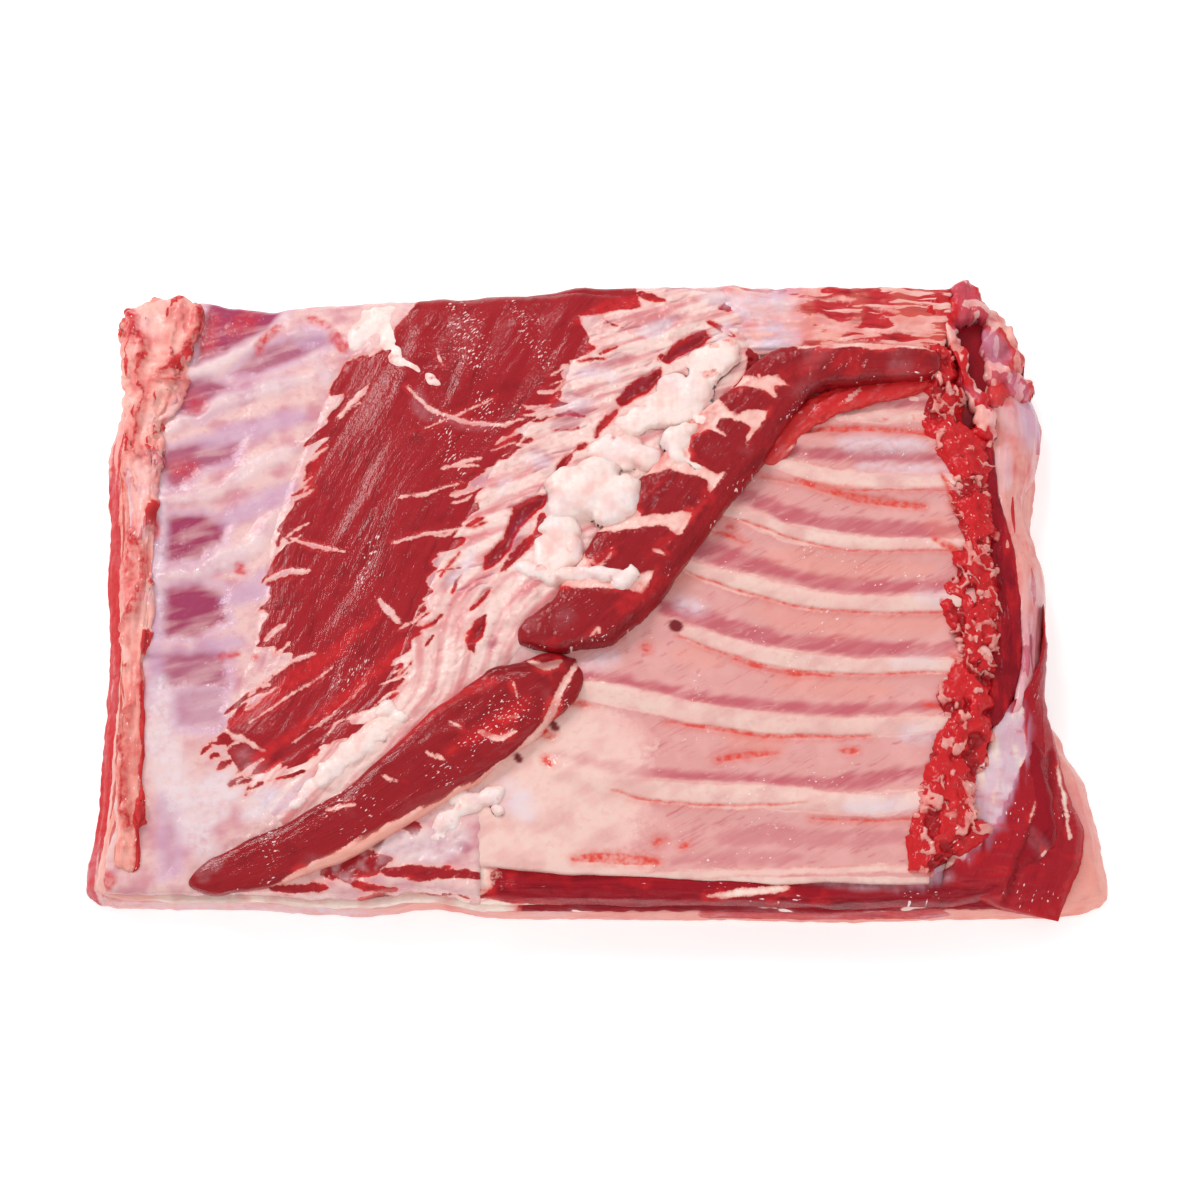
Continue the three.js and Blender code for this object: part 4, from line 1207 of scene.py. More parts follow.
def paint_plate(x, y, z):
    """Pale backs of the ribs, with dark meat above each, frayed along its fibres, and a red line below."""
    value = blank(x)
    x, y = warped(x, y, 0.9)
    crests = strokes(x, y, CRESTS)
    bands = strokes(x, y, BANDS)
    creases = strokes(x, y, CREASES)
    flecks = strokes(x, y, PLATE_FLECKS)
    pale = strokes(x, y, PALE_THREADS)
    inner_end = 22 + 14 * rough(x, y * 1.5, 26, 54, 3) - x
    membrane = smooth(inner_end, -24, 22) * smooth(-y - 0.35 * (x + 40), 44, 70)
    uneven = rough(x / 3, y, 9, 57, 3)
    rim = smooth(-y, 169.5, 171.5)
    crest = np.maximum(smooth(crests + 1.6 * uneven, -3.2, 1.6) * (0.82 + 0.35 * uneven), rim)
    bare = np.maximum(crest, 0.8 * membrane)
    value["lean"] = mix(3.0, -4.5, bare)
    fray = 2.6 * rough(x * 0.5 - y * 0.87, (x * 0.87 + y * 0.5) / 6, 2.6, 55, 2)
    band = smooth(bands + fray, -2.5, 2.5) * (1 - crest) * (1 - 0.6 * membrane)
    between = (1 - crest) * (1 - membrane)
    dashes = smooth(flecks, -0.5, 0.4) * between * smooth(rough(x, y, 30, 56), -0.4, 0.3)
    near = smooth(-y, 128, 150)
    value["purple"] = np.maximum((0.8 - 0.4 * near) * band, 0.5 * dashes) * (1
        - 0.5 * smooth(pale, -0.4, 0.2))
    line = np.exp(-((crests + 0.3) / 0.55) ** 2) * smooth(x, 0, 40)
    value["blood"] = np.maximum(smooth(creases, -1.0, 0.8) * 0.9,
        0.35 * smooth(creases, -4.5, 0) * (1 - crest))
    value["blood"] = np.maximum(value["blood"], 0.25 * line)
    value["warm"] = 0.5 * smooth(strokes(x, y, ORANGE) + fray, -6, 3) * (1 - crest)
    # painted highlights: white glints over the plate, more of them to the right
    value["gloss"] = 0.6 * smooth(rough(x, y * 2, 16, 58, 2), 0.2, 0.55) * smooth(x, 0, 60)
    value["veil"] = smooth(strokes(x, y, PLATE_VEILS), -6, 4) * 0.6 * (1 - rim)
    value["shade"] = 1.2 * smooth(strokes(x, y, DARK_LINES), -0.8, 0.6)
    groove = smooth(creases, -1.2, 0.8)
    value["lift"] = -0.6 * groove + 0.25 * rough(x, y, 9, 52, 2) + 0.12 * rough(x, y, 3, 53) - 0.25 * band
    return value


def plate_relief(x, row):
    """Height of the plate over its valleys: a smooth back over each rib."""
    relief = np.zeros_like(x)
    for rib_row, start, end, width in RIBS:
        back = np.clip(1 - np.abs(row - rib_row) / (0.95 * width), 0, 1)
        grown = smooth(x, start - 26, start + 30) * (0.6 if rib_row > 95 else 1)
        relief = np.maximum(relief, smooth(back, 0, 1) * grown)
    return relief


def plate_place(u, v):
    row = mix(-172.5, 184, v)
    x = np.zeros_like(row)
    y = row
    for _ in range(5):
        x = mix(plate_left(y) - 3, plate_end(row) + 3, u)
        y = bowed(x, row)
    return x, y - 1.6 * smooth(v, 0.01, 0) * rough(x, 0, 26, 61, 2)


def make_plate():
    def top(x, y, u, v):
        row = mix(-172.5, 184, v)
        flat = 0.55 * smooth(-x, -60, 30) * smooth(-row, 96, 130)
        relief = np.maximum(plate_relief(x, row), flat)
        return top_height(x, y) - RIB_RELIEF * (1 - relief)

    sheet("rib_plate_skin", ["rib_plate"], "rib_skin", MATERIAL["plate"], 158, 564, plate_place, top,
          seam("inner", 0.4), paint_plate, taper=1.6, size=(230, 350),
          flow=lambda x, y, u, v: (0.87 * y - 0.5 * x, 0.87 * x + 0.5 * y))


def make_ribs():
    """The bones, of which only the freed ends stand out of the plate."""
    for number, (row, start, end, width) in enumerate(RIBS, 1):
        path = []
        for t in (0, 0.2, 0.45, 0.75, 1):
            x = mix(start, end, t)
            y = float(bowed(x, row))
            path.append((x, y, float(top_height(x, y)) - RIB_DEPTH / 2 - 1.6 + 1.4 * t**8))

        def section(t, angle):
            size = 1 + 0.15 * smooth(t, 0.84, 1) * (-1 if row > 70 else 1)
            return 0.5 * width * size * np.cos(angle), 0.47 * RIB_DEPTH * size * np.sin(angle)

        def paint(x, y, z, t, angle):
            value = blank(x)
            value["lean"] = -5 + 7 * smooth(rough(x, y, 7, number, 2), 0.1, 0.5)
            value["lift"] = 0.4 * rough(x, y + z, 5, number, 2)
            return value

        swept(f"rib_{number}_bone", [f"rib_{number}"], "rib", MATERIAL["bone"], path, 40, 150, section, paint,
              blunt=0.03, knob=0.06, size=6, seed=number)


# ---------------------------------------------------------------- the skirt muscle

SKIRT_MEAT = [  # red fields between white strips
    [
        (84, 152), (120, 150), (165, 150), (208, 146), (208, 124), (180, 126), (140, 124), (112, 124),
        (104, 132), (92, 130), (80, 134),
    ],
    [(65, 124), (80, 125), (99, 122), (101, 108), (88, 110), (77, 108), (70, 116)],
    [(70, 105), (84, 101), (92, 94), (86, 88), (74, 94), (67, 100)],
    [(51, 94), (62, 97), (80, 92), (91, 84), (86, 74), (66, 70), (52, 77)],
    [
        (8, 71), (22, 68), (40, 73), (61, 68), (63, 56), (56, 45), (42, 46), (26, 41), (19, 50), (23, 60),
        (14, 65),
    ],
    [(-13, 36), (8, 33), (22, 36), (42, 39), (48, 30), (42, 14), (22, 8), (6, 10), (-3, 12), (-10, 20)],
    [
        (-42, -3), (-26, 0), (10, -1), (24, -5), (30, -14), (20, -26), (6, -42), (-20, -41), (-50, -39),
        (-62, -36), (-54, -20),
    ],
    [
        (102, 126), (122, 124), (120, 108), (104, 92), (96, 76), (78, 54), (60, 34), (48, 12), (38, -8),
        (24, -26), (12, -22), (26, 0), (38, 22), (52, 44), (68, 66), (84, 86), (96, 104),
    ],
]
SKIRT_STRIPS = [
    [[(-28, -38), (-22, -39), (-20, -36)], 2.4], [[(-5, -36), (-4, -29), (-1, -25), (0, -32)], 2],
    [[(60, 98), (66, 112), (62, 120)], 4], [[(38, 40), (45, 34)], 6], [[(24, 42), (36, 42)], 6],
    [[(96, 108), (88, 98), (84, 90)], 2.4], [[(30, 22), (36, 20)], 2], [[(54, 70), (64, 68)], 3],
    [[(92, 132), (98, 124), (102, 118)], 3], [[(-8, 18), (0, 14), (6, 20)], 1.6],
]
SKIRT_BLOOD = [[[(168, 132), (186, 130), (200, 128)], 12], [[(60, 60), (64, 52)], 6],
    [[(20, -10), (24, 0)], 8]]
LOWER_STRIPS = [
    [[(-66, -86), (-56, -90), (-46, -86)], 4], [[(-56, -78), (-46, -78)], 1.6],
    [[(-96, -99), (-86, -102)], 3], [[(-48, -58), (-46, -70)], 1.2],
    [[(-40, -44), (-30, -48), (-22, -45)], 4], [[(-120, -112), (-108, -116)], 2],
    [[(-150, -132), (-134, -128)], 2.4], [[(-84, -80), (-76, -84)], 1.4],
]
LOWER_EDGE = [[[(-58, -113), (-84, -129), (-116, -147), (-150, -165), (-188, -187)], 10]]
SKIRT_CREASE = [
    [[(-12, -44), (-34, -47), (-58, -50), (-76, -60), (-92, -70), (-108, -82)], 2.4],
    [[(24, -34), (8, -46), (-4, -54), (-16, -62)], 2],
]
SKIRT_FLAP = [[[(-13, -46), (-22, -62), (-29, -81), (-38, -93), (-52, -106), (-66, -115)], 5]]
LOWER_RED = [[[(-60, -56), (-90, -72), (-124, -100), (-160, -126)], 9],
    [[(-40, -66), (-60, -84), (-84, -98)], 7]]


def paint_skirt(x, y, z, t, angle):
    value = blank(x)
    x, y = warped(x, y, 1.1)
    meat = np.full_like(x, -REACH)
    for number, field in enumerate(SKIRT_MEAT):
        meat = np.maximum(meat, region(x, y, field, 1.6, (0.75, 0.66), 5, number))
    strips = strokes(x, y, SKIRT_STRIPS)
    meat = np.minimum(meat, -strips)
    plate_side = smooth(-np.cos(angle), 0.4, 0.75) * smooth(t, 1.0, 0.96)
    value["lean"] = np.maximum(meat, 9 * plate_side - 5 + 3 * rough(x, z * 3, 8, 77))
    crease = smooth(strokes(x, y, SKIRT_CREASE), -2, 1)
    value["shade"] = np.maximum(plate_side * 0.45, 0.7 * crease)
    fresh = smooth(rough(x * 0.7 - y * 0.7, (x + y) / 5, 9, 78, 2), 0.1, 0.5)
    value["blood"] = np.maximum(smooth(strokes(x, y, SKIRT_BLOOD), -4, 3) * 0.55, 0.5 * fresh)
    value["veil"] = 0.1 * smooth(rough(x, y, 26, 71, 2), 0.3, 0.7)
    # painted highlights: white glints, most of them on the side toward the plate
    value["gloss"] = 0.05 + 0.8 * plate_side * smooth(rough(x, y, 14, 62, 2), -0.2, 0.3)
    lift = 0.6 * rough(x, y, 12, 72, 3) - 1.4 * crease
    lift += 0.9 * smooth(-meat, -1, 2.5) * (1 - plate_side) + 0.4 * rough(x * 2 - y, y + x, 4, 73, 2)
    value["lift"] = lift
    return value


def paint_skirt_lower(x, y, z, t, angle):
    value = blank(x)
    x, y = warped(x, y, 1.1)
    strips = strokes(x, y, LOWER_STRIPS)
    flap = strokes(x, y, SKIRT_FLAP)
    edge = strokes(x, y, LOWER_EDGE)
    crease = smooth(strokes(x, y, SKIRT_CREASE[:1]), -2.5, 1)
    lean = np.minimum(REACH * 0.7, -np.maximum(strips, flap))
    ragged = 2.6 * rough(x * 0.8 + y * 0.5, (y - x) * 3, 16, 74, 3)
    value["lean"] = np.minimum(lean, -edge + ragged)
    value["shade"] = 0.8 * crease
    fresh = smooth(strokes(x, y, LOWER_RED) + 3 * rough(x * 0.5 - y * 0.8, (x + y) / 6, 7, 75, 2), -2, 3)
    value["blood"] = 0.75 * fresh
    value["warm"] = smooth(edge, -2, 2)
    value["veil"] = 0.1 * smooth(rough(x, y, 20, 79, 2), 0.25, 0.6)
    # painted highlights: white glints in patches
    value["gloss"] = 0.05 + 0.8 * smooth(rough(x, y, 18, 80, 2), 0.1, 0.5)
    value["lift"] = (
        0.8 * smooth(strips, -1, 1.5) + 1.2 * smooth(flap, -2, 2)
        + 0.7 * rough(x * 0.6 - y, (x + 0.6 * y) / 4, 7, 76, 3)
        - 1.4 * crease
    )
    return value


def paint_tendon(x, y, z, t, angle):
    value = blank(x)
    outer = smooth(np.cos(angle), 0.1, 0.7)
    value["lean"] = 3 + 4 * rough(x * 0.7 - y * 0.7, (x + y) / 5, 5, 81,
        2) - 4 * smooth(rough(x - y, (x + y) / 6, 4, 84, 2), 0.2, 0.5)
    value["blood"] = 0.5 + 0.3 * smooth(x, 104, 130)
    value["warm"] = 0.25 * outer
    value["veil"] = 0.25 * smooth(rough(x - y, (x + y) / 5, 3, 82, 2), 0.2, 0.6)
    value["lift"] = 0.7 * rough(x - y, (x + y) / 5, 3, 83, 2)
    return value


def skirt_section(half, height, depth, angle, flat, less):
    """A cushion whose plate side is narrower by some mm."""
    aside, up = cushion(half, height, depth, angle, flat)
    return np.where(aside < 0, aside * (1 - less / half), aside), up


def make_skirt():
    upper_half = profile((0, 10), (0.175, 13), (0.32, 20), (0.44, 27), (0.7, 29), (0.79, 26), (0.88, 18),
        (1, 10))
    swept("skirt_upper_muscle", ["skirt_upper"], "lean", MATERIAL["skirt"],
          [(199, 137, 47), (150, 137, 46), (112, 131, 45), (88, 102, 43), (59, 66, 42), (31, 28, 42),
              (6, -8, 41),
           (-20, -27, 41), (-46, -33, 40)],
          170, 420, lambda t, angle: skirt_section(upper_half(t) + 0.6, 10 - 2.5 * smooth(t, 0.8, 1), 5,
              angle, 0.5,
                                                  6.5 * smooth(t, 0.25, 0.45)),
          paint_skirt, blunt=0.04, knob=0.04, size=22, seed=4)
    lower_half = profile((0, 15), (0.1, 20), (0.2, 25), (0.37, 25), (0.5, 20), (0.6, 17), (0.8, 14),
        (0.9, 10), (1, 4))
    swept("skirt_lower_muscle", ["skirt_lower"], "lean", MATERIAL["skirt"],
          [(-12, -46, 38), (-32, -63, 40), (-48, -74, 40), (-66, -86, 39.5), (-84, -99, 39),
              (-108, -117, 37.5), (-132, -135, 36),
           (-158, -148, 33.5), (-184, -158, 29.5), (-208, -165, 26), (-226, -169, 23.5)],
          130, 360, lambda t, angle: skirt_section(lower_half(t) + 0.6, 5
              + 5 * (1 - t) * smooth(t, -0.1, 0.15),
                                                  5 - t, angle, 0.55, 4 * smooth(t, 0.5, 0.2)),
          paint_skirt_lower, blunt=0.05, knob=0.05, size=18, seed=6)
    swept("skirt_tendon_cord", ["skirt_tendon"], "lean", MATERIAL["raw_red"],
          [(94, 77, 42), (109, 99, 43), (131, 113, 43.5), (160, 121, 44.5), (192, 128, 46)],
          48, 150, lambda t, angle: cushion(10 - 4 * t, 2.6, 2, angle, 1.2), paint_tendon, blunt=0.1,
          knob=0.2, size=8)


# ---------------------------------------------------------------- lumps of fat


def paint_lump(x, y, z):
    value = blank(x)
    value["lean"] = -6 + 5.5 * smooth(rough(x, y, 10, 91, 3), 0.2, 0.6)
    value["veil"] = 0.25 * smooth(rough(x, y, 15, 92), 0, 0.5)
    value["lift"] = 0.45 * rough(x, y, 7, 93, 3)
    return value


LUMPS = {  # each node's mounds: foot, size, turn
    "large": [
        [(-6, 57, 49), (21, 15, 6.5), 0.1], [(10, 51, 50), (14, 13, 6), 0.3], [(-1, 69, 50), (12, 9, 5.5), 0],
        [(-21, 62, 47), (10, 9, 5), 0.4], [(-18, 48, 47), (12, 9, 5), 0.2], [(17, 58, 50), (8, 8, 5), 0],
        [(7, 42, 49), (12, 6, 4.5), 0],
    ],
    "tail": [
        [(-22, 35, 45), (11, 12, 5), 0], [(-18, 22, 45), (9, 10, 4.5), 0.4],
        [(-30, 20, 43.5), (9, 14, 4), -0.3],
        [(-26, 11, 44), (12, 7, 4), 0.2],
    ],
    "upper": [
        [(44, 112, 46), (19, 13, 2.6), 0.3], [(54, 121, 46.5), (11, 9, 2.6), 0.2],
        [(41, 127, 45.5), (8, 6, 2.2), 0.3],
        [(24, 103, 45), (14, 7, 2.6), 0.2], [(66, 142, 46), (13, 10, 2.4), 0.3],
        [(74, 149, 45.5), (7, 7, 2), -0.2],
        [(59, 130, 46), (8, 7, 2.4), 0], [(4, 85, 44.5), (10, 8, 4), 0.2], [(16, 84, 45), (9, 10, 4.5), 0],
        [(27, 79, 46), (9, 8, 4), -0.2], [(10, 76, 44.5), (10, 5, 3.5), -0.2],
        [(60, 100, 48), (5, 6, 3), -0.4],
        [(54, 73, 49.5), (9, 2.6, 2.4), -0.4],
    ],
    "small": [[(44, 88, 49), (9, 8, 4.5), 0], [(50, 94, 49), (7, 5, 4), 0.5],
        [(44, 78, 49), (6, 6, 3.5), 0.5]],
    "end": [
        [(-34, 8, 43.5), (14, 6, 4), -0.3], [(-14, 5, 47), (13, 5, 4), -0.1],
        [(3, 4, 50), (11, 4.5, 3.5), -0.1],
        [(14, 0, 50.5), (8, 5.5, 4), 0.6], [(19, 6, 50.5), (4, 4, 3.5), 0],
    ],
    "far": [
        [(-131, 172, 31), (14, 11, 6), 0.2], [(-122, 160, 32), (12, 14, 6), 0.3],
        [(-140, 164, 31), (10, 11, 5), 0],
        [(-119, 147, 35), (6, 8, 4), 0.3], [(-109, 139, 37), (11, 4.5, 3), -0.55],
        [(-97, 132, 38.5), (6, 3.5, 2.5), -0.6],
    ],
    "flank": [
        [(-122, -84, 37.5), (10, 6, 3.5), 0.4], [(-134, -94, 36.5), (14, 8, 4), 0.75],
        [(-148, -106, 35), (14, 7, 3.5), 0.8],
        [(-118, -73, 38), (6, 5, 4), 0.3], [(-111, -78, 38.5), (5, 4.5, 3.5), 0],
        [(-162, -120, 32), (12, 5, 3), 0.8],
    ],
    "under": [
        [(-60, -122, 38), (8, 5, 4), 0.5], [(-72, -128, 37), (9, 6, 4.5), 0.6],
        [(-84, -137, 36), (9, 6, 4), 0.5],
        [(-78, -124, 37), (7, 5, 4), 0.2], [(-56, -130, 38), (4, 4, 3.5), 0],
        [(-88, -146, 35), (6, 4, 3), 0.4],
    ],
}


def make_lumps():
    for seed, (name, balls) in enumerate(LUMPS.items(), 1):
        lump("fat_lump_" + name + "_knob", ["fat_lump_" + name], balls, paint_lump, seed=seed)


# ---------------------------------------------------------------- border pieces


ROLL_FOLDS = [
    [[(-282, 180), (-276, 168), (-268, 152), (-271, 134), (-268, 118), (-273, 100), (-270, 82)], 4],
    [[(-242, 190), (-238, 176), (-241, 160), (-247, 146), (-256, 136)], 4.5],
    [[(-262, 130), (-250, 132), (-240, 128)], 3], [[(-285, 84), (-280, 60), (-274, 44), (-276, 14)], 4],
    [[(-276, 46), (-268, 30), (-262, 18), (-266, -12), (-272, -26)], 4],
    [[(-290, 30), (-285, 4), (-280, -20), (-270, -34)], 3.5],
    [[(-263, -70), (-266, -90), (-265, -118), (-262, -142)], 3.5],
]
ROLL_REDS = picked_strokes("far left", [
    ([(85, 95), (95, 140), (120, 180)], 9),
    ([(60, 390), (60, 470), (70, 540)], 7),
    ([(150, 590), (148, 640)], 6),
    ([(118, 440), (128, 480)], 5),
    ([(70, 600), (80, 680), (80, 760)], 5),
])


def paint_roll(x, y, z, t, angle):
    """Salmon fat with folds and red crevices; low down it is pale outside and red inside."""
    value = blank(x)
    folds = rough(x * 2.2 + z * 1.5, y / 2.2, 9, 101, 3)
    u, v = warped(x, y, 3, 9)
    traced = strokes(u, v, ROLL_FOLDS)
    crevice = np.maximum(smooth(folds, 0.22, 0.55), 0.8 * smooth(traced, -2.5, 1.5))
    low = smooth(-y, 20, 70)
    inner = smooth(-np.cos(angle) + 0.5 * rough(x, y / 3, 9, 106, 2), -0.1, 0.5)
    value["lean"] = -5 + 6.5 * crevice + 6 * low * inner
    value["veil"] = 0.3 * smooth(rough(x, y, 14, 102, 2), 0.1, 0.5) * (1 - low)
    value["warm"] = 0.5 * low * (1 - inner)
    fresh = smooth(rough(x * 2, y / 4, 7, 104, 2), -0.3, 0.3)
    reds = smooth(strokes(u, v, ROLL_REDS), -4, 3)
    value["blood"] = low * inner * (0.35 + 0.4 * fresh) + 0.2 * fresh * smooth(-y, -110,
        -60) + 0.06 + 0.6 * reds
    value["blood"] = value["blood"] + 0.45 * smooth(traced, -5, 0.5)
    value["shade"] = 0.35 * smooth(folds, 0.5, 0.8) + 0.2 * smooth(traced, -0.5, 1.5)
    # painted highlights: white glints over the roll
    value["gloss"] = 0.3
    knobs = rough(x, y / 1.6, 15, 105, 2) * (1 - 0.5 * low)
    value["lift"] = 1.6 * rough(x * 1.6, y / 2, 8, 103, 3) - 3.0 * crevice + 2.6 * knobs
    return value


def paint_torn(x, y, z, *where):
    """Ragged red meat with pale curled shreds."""
    value = blank(x)
    x, y = warped(x, y, 2.2, 6)
    shreds = rough(x * 1.2 + y * 0.5, y * 0.8 - x * 0.3, 8, 111, 3)
    curls = smooth(np.abs(shreds), 0.16, 0.05) * smooth(rough(x, y, 15, 116, 2), -0.1, 0.25)
    pale = np.maximum(curls, smooth(rough(x * 1.3, y, 8, 117, 3), 0.3, 0.5))
    value["lean"] = 3 - 6.5 * pale
    value["blood"] = (0.75 + 0.4 * rough(x, y, 10, 112)) * (1 - 0.4 * pale)
    hollow = smooth(rough(x, y, 9, 113, 3), 0.0, 0.4) * (1 - pale)
    value["shade"] = 0.7 * hollow
    # painted highlights: white glints over the torn meat
    value["gloss"] = 0.3
    value["lift"] = 1.8 * rough(x, y, 6, 114, 3) - 2.6 * hollow + 1.8 * pale
    return value


TORN_LEFT = [
    (188, 150), (186, 136), (188, 124), (186, 108), (188, 96), (195, 81), (201, 69), (198, 58), (201, 49),
    (202, 40), (202, 27), (201, 18), (198, 7), (191, -4), (191, -12), (196, -21), (199, -32), (196, -49),
    (188, -64), (186, -83), (180, -104), (175, -126), (169, -143), (166, -166),
]
TORN_RIGHT = [(206, 150), (210, 137), (212, 124)] + picked("far right", 41, [
    (570, 420), (640, 470), (655, 540), (650, 600), (660, 680), (665, 750), (650, 790), (670, 830),
    (660, 870),
]) + picked("front right", 39, [
    (690, 20), (660, 60), (670, 150), (650, 250), (650, 350), (640, 440), (600, 520), (600, 580), (650, 650),
    (590, 700), (490, 765),
])
CORNER_CLEFT = [[[(201, 178), (199, 160), (203, 146), (208, 130), (212, 112), (210, 102)], 5],
    [[(222, 168), (219, 150)], 4]]
CORNER_PURPLE = [[[(222, 160), (230, 152), (236, 146)], 16], [[(240, 134), (247, 120)], 12]]
CORNER_PALE = [
    [[(230, 178), (238, 168), (243, 156)], 6], [[(212, 178), (222, 180), (230, 174)], 6],
    [[(228, 140), (238, 138)], 7], [[(213, 122), (218, 108), (222, 98)], 6], [[(214, 140), (218, 128)], 4],
    [[(240, 160), (247, 150)], 5],
]
FAR_FAT = [
    [[(76, 160), (96, 158), (116, 155)], 16], [[(82, 176), (104, 172), (122, 166)], 12],
    [[(126, 170), (140, 164), (152, 168)], 8], [[(130, 154), (160, 154), (186, 152)], 4],
    [[(160, 176), (176, 174)], 3], [[(182, 168), (198, 172)], 3], [[(120, 184), (150, 182)], 2.5],
    [[(160, 163), (196, 161)], 2.5],
]


def paint_corner(x, y, z):
    """Folded skin at the corner: pale rims, a purplish face and a dark cleft."""
    value = blank(x)
    x, y = warped(x, y, 1.5, 7)
    folds = rough(x * 1.4, y / 1.6, 8, 121, 3)
    value["lean"] = 4 - 9 * smooth(folds, -0.1, 0.45) - 6 * smooth(strokes(x, y, CORNER_PALE), -2, 2)
    face = smooth(strokes(x, y, CORNER_PURPLE), -3, 3)
    value["purple"] = 0.4 * face
    value["lilac"] = 0.25 * face + 0.15 * smooth(rough(x, y, 14, 122), 0.1, 0.5)
    cleft = smooth(strokes(x, y, CORNER_CLEFT), -2.5, 1.5)
    value["shade"] = 0.8 * cleft
    value["blood"] = 0.55 * smooth(rough(x, y, 9, 123, 2), -0.1, 0.4) * (1 - face)
    value["lift"] = 1.6 * rough(x * 1.4, y / 1.4, 5, 124, 3) - 3 * cleft
    return value


def paint_far(x, y, z, *where):
    """Torn meat and fat along the far edge."""
    value = blank(x)
    x, y = warped(x, y, 1.5, 8)
    fat = strokes(x, y, FAR_FAT) + 2 * rough(x / 3, y * 1.5, 6, 137, 2)
    left = smooth(-x, -130, -96)
    strand = rough(x / 4 + y * 0.4, y * 2, 6, 131, 3)
    value["lean"] = np.minimum(3.0 - 7.5 * smooth(strand, -0.2, 0.25) - 9 * left * smooth(-y, -186, -180),
        -fat)
    value["blood"] = 0.15 * (1 - left) * smooth(rough(x, y, 12, 133, 2), -0.3, 0.3)
    value["warm"] = 0.4 * smooth(rough(x, y, 14, 134), 0, 0.4)
    value["lilac"] = 0.6 * left * smooth(rough(x, y * 2, 12, 135, 2), 0, 0.4)
    value["veil"] = 0.75 * left * smooth(rough(x / 3, y * 1.5, 9, 138, 2), -0.5, 0.1)
    value["shade"] = 0.5 * smooth(-strand, 0.35, 0.6) * (1 - left)
    value["lift"] = 1.3 * rough(x / 2, y * 1.6, 6, 132, 3) + 0.8 * smooth(fat, -2, 2) + 0.8 * strand
    return value


def make_borders():
    roll_half = profile((0, 20), (0.13, 20), (0.25, 15), (0.38, 11), (0.46, 8), (0.6, 6.5), (0.85, 7), (1, 8))
    roll_height = profile((0, 6), (0.3, 6), (0.46, 4), (1, 4.5))

    def roll_section(t, angle):
        return cushion(roll_half(t) + 1.5 * np.sin(31 * t), roll_height(t), 4, angle, 1.15)

    roll = [(-259, 191), (-260, 160), (-263, 132), (-267, 108), (-266, 90), (-264, 56), (-264, 0),
        (-262, -70),
            (-261, -120), (-259, -162)]
    swept("edge_roll_fat", ["edge_roll"], "fat", MATERIAL["roll"],
          [(px, py, float(top_height(px, py)) - 1.5 + 3 * float(smooth(py, 120, 180))) for px, py in roll],
          80, 420, roll_section, paint_roll, blunt=0.03, knob=0.3, size=13, seed=11)

    lump("corner_fold_meat", ["corner_fold"], [
        [(217, 187, 38), (9, 9, 9), 0], [(211, 177, 40), (8, 9, 8), 0.3], [(222, 176, 38), (8, 8, 9), 0],
        [(203, 168, 42), (5, 11, 5), 0.1], [(206, 156, 42), (5, 10, 5), 0],
        [(209, 142, 42), (5, 11, 5.5), 0.1],
        [(213, 128, 42), (6, 9, 6), 0.2], [(220, 117, 41), (6, 7, 6), 0], [(223, 106, 41), (6, 9, 6), 0.2],
        [(221, 96, 41), (7, 5, 5), 0], [(196, 176, 42), (7, 10, 4), 0.4],
    ], paint_corner, "torn", seed=12, slot="lean")
    lump("corner_flap_fat", ["corner_flap"], [
        [(231, 171, 32), (8, 9, 8), 0.4], [(239, 162, 29), (7, 10, 8), 0.3], [(230, 156, 34), (9, 11, 7), 0],
        [(240, 148, 30), (8, 9, 7), 0], [(246, 148, 25), (5, 9, 8), 0.3], [(234, 138, 34), (10, 9, 6), 0],
        [(244, 130, 30), (9, 9, 7), 0], [(231, 122, 35), (8, 9, 5), 0],
    ], paint_corner, "roll", seed=13)

    far_left, far_right = [(74, 192), (72, 172), (66, 147)], [(207, 190), (205, 172), (200, 147)]
    sheet("far_edge_muscle", ["far_edge_meat"], "lean", MATERIAL["far"], 200, 80,
        between(far_left, far_right, 2, 7),
          lambda x, y, u, v: 43 + 3.5 * smooth(x, 90, 180) - 2.5 * smooth(y, 178, 192)
          + 1.4 * rough(x, y, 16, 136, 2),
          seam("inner", 1), paint_far, taper=1.8, fade=5, size=(130, 45),
          flow=lambda x, y, u, v: (v * 31, u * 120))

    def end_top(x, y, u, v):
        rise = np.interp(u, [0, 0.15, 0.5, 0.8, 1], [-1.5, 1.5, 2.5, -1, -8])
        return top_height(x, y) + rise + 2.0 * rough(x, y, 9, 143, 2) * np.sin(math.pi * u)

    sheet("rib_end_shreds", ["rib_end_meat"], "lean", MATERIAL["torn"], 64, 480,
          between(TORN_LEFT, TORN_RIGHT, 2.5, 9),
          end_top, seam("inner", 1), paint_torn, taper=1.0, size=(24, 300))


# ---------------------------------------------------------------- lower layers


def round_square(t, power=36):
    """Way round a square with slightly rounded corners: shares across and along."""
    side = np.floor(t * 4).astype(int) % 4
    along = (t * 4 - np.floor(t * 4)) * 2 - 1
    u = np.choose(side, [along, np.ones_like(t), -along, -np.ones_like(t)])
    v = np.choose(side, [-np.ones_like(t), along, np.ones_like(t), -along])
    pull = (np.abs(u) ** power + np.abs(v) ** power) ** (-1 / power)
    return 0.5 + 0.5 * u * pull, 0.5 + 0.5 * v * pull


def inside(a, b, z, more, front=0, right=0, far=0):
    """A point of the outline at height z, drawn in by more, and by front and right on those sides."""
    z = np.where(z < 11, np.maximum(0, z - 3) * 11 / 8, z)
    near_x, near_y = mix(-286, 262, a), mix(FRONT_Y, FAR_Y, b)
    low_x = left_edge(near_y) + LEAN_IN["left"] * z + more
    high_x = right_edge(near_y) - LEAN_IN["right"] * z - more - right
    low_y = front_edge(near_x) + LEAN_IN["front"] * z + more + front
    high_y = far_edge(near_x) - LEAN_IN["far"] * z - more - far
    return mix(low_x, high_x, a), mix(low_y, high_y, b)


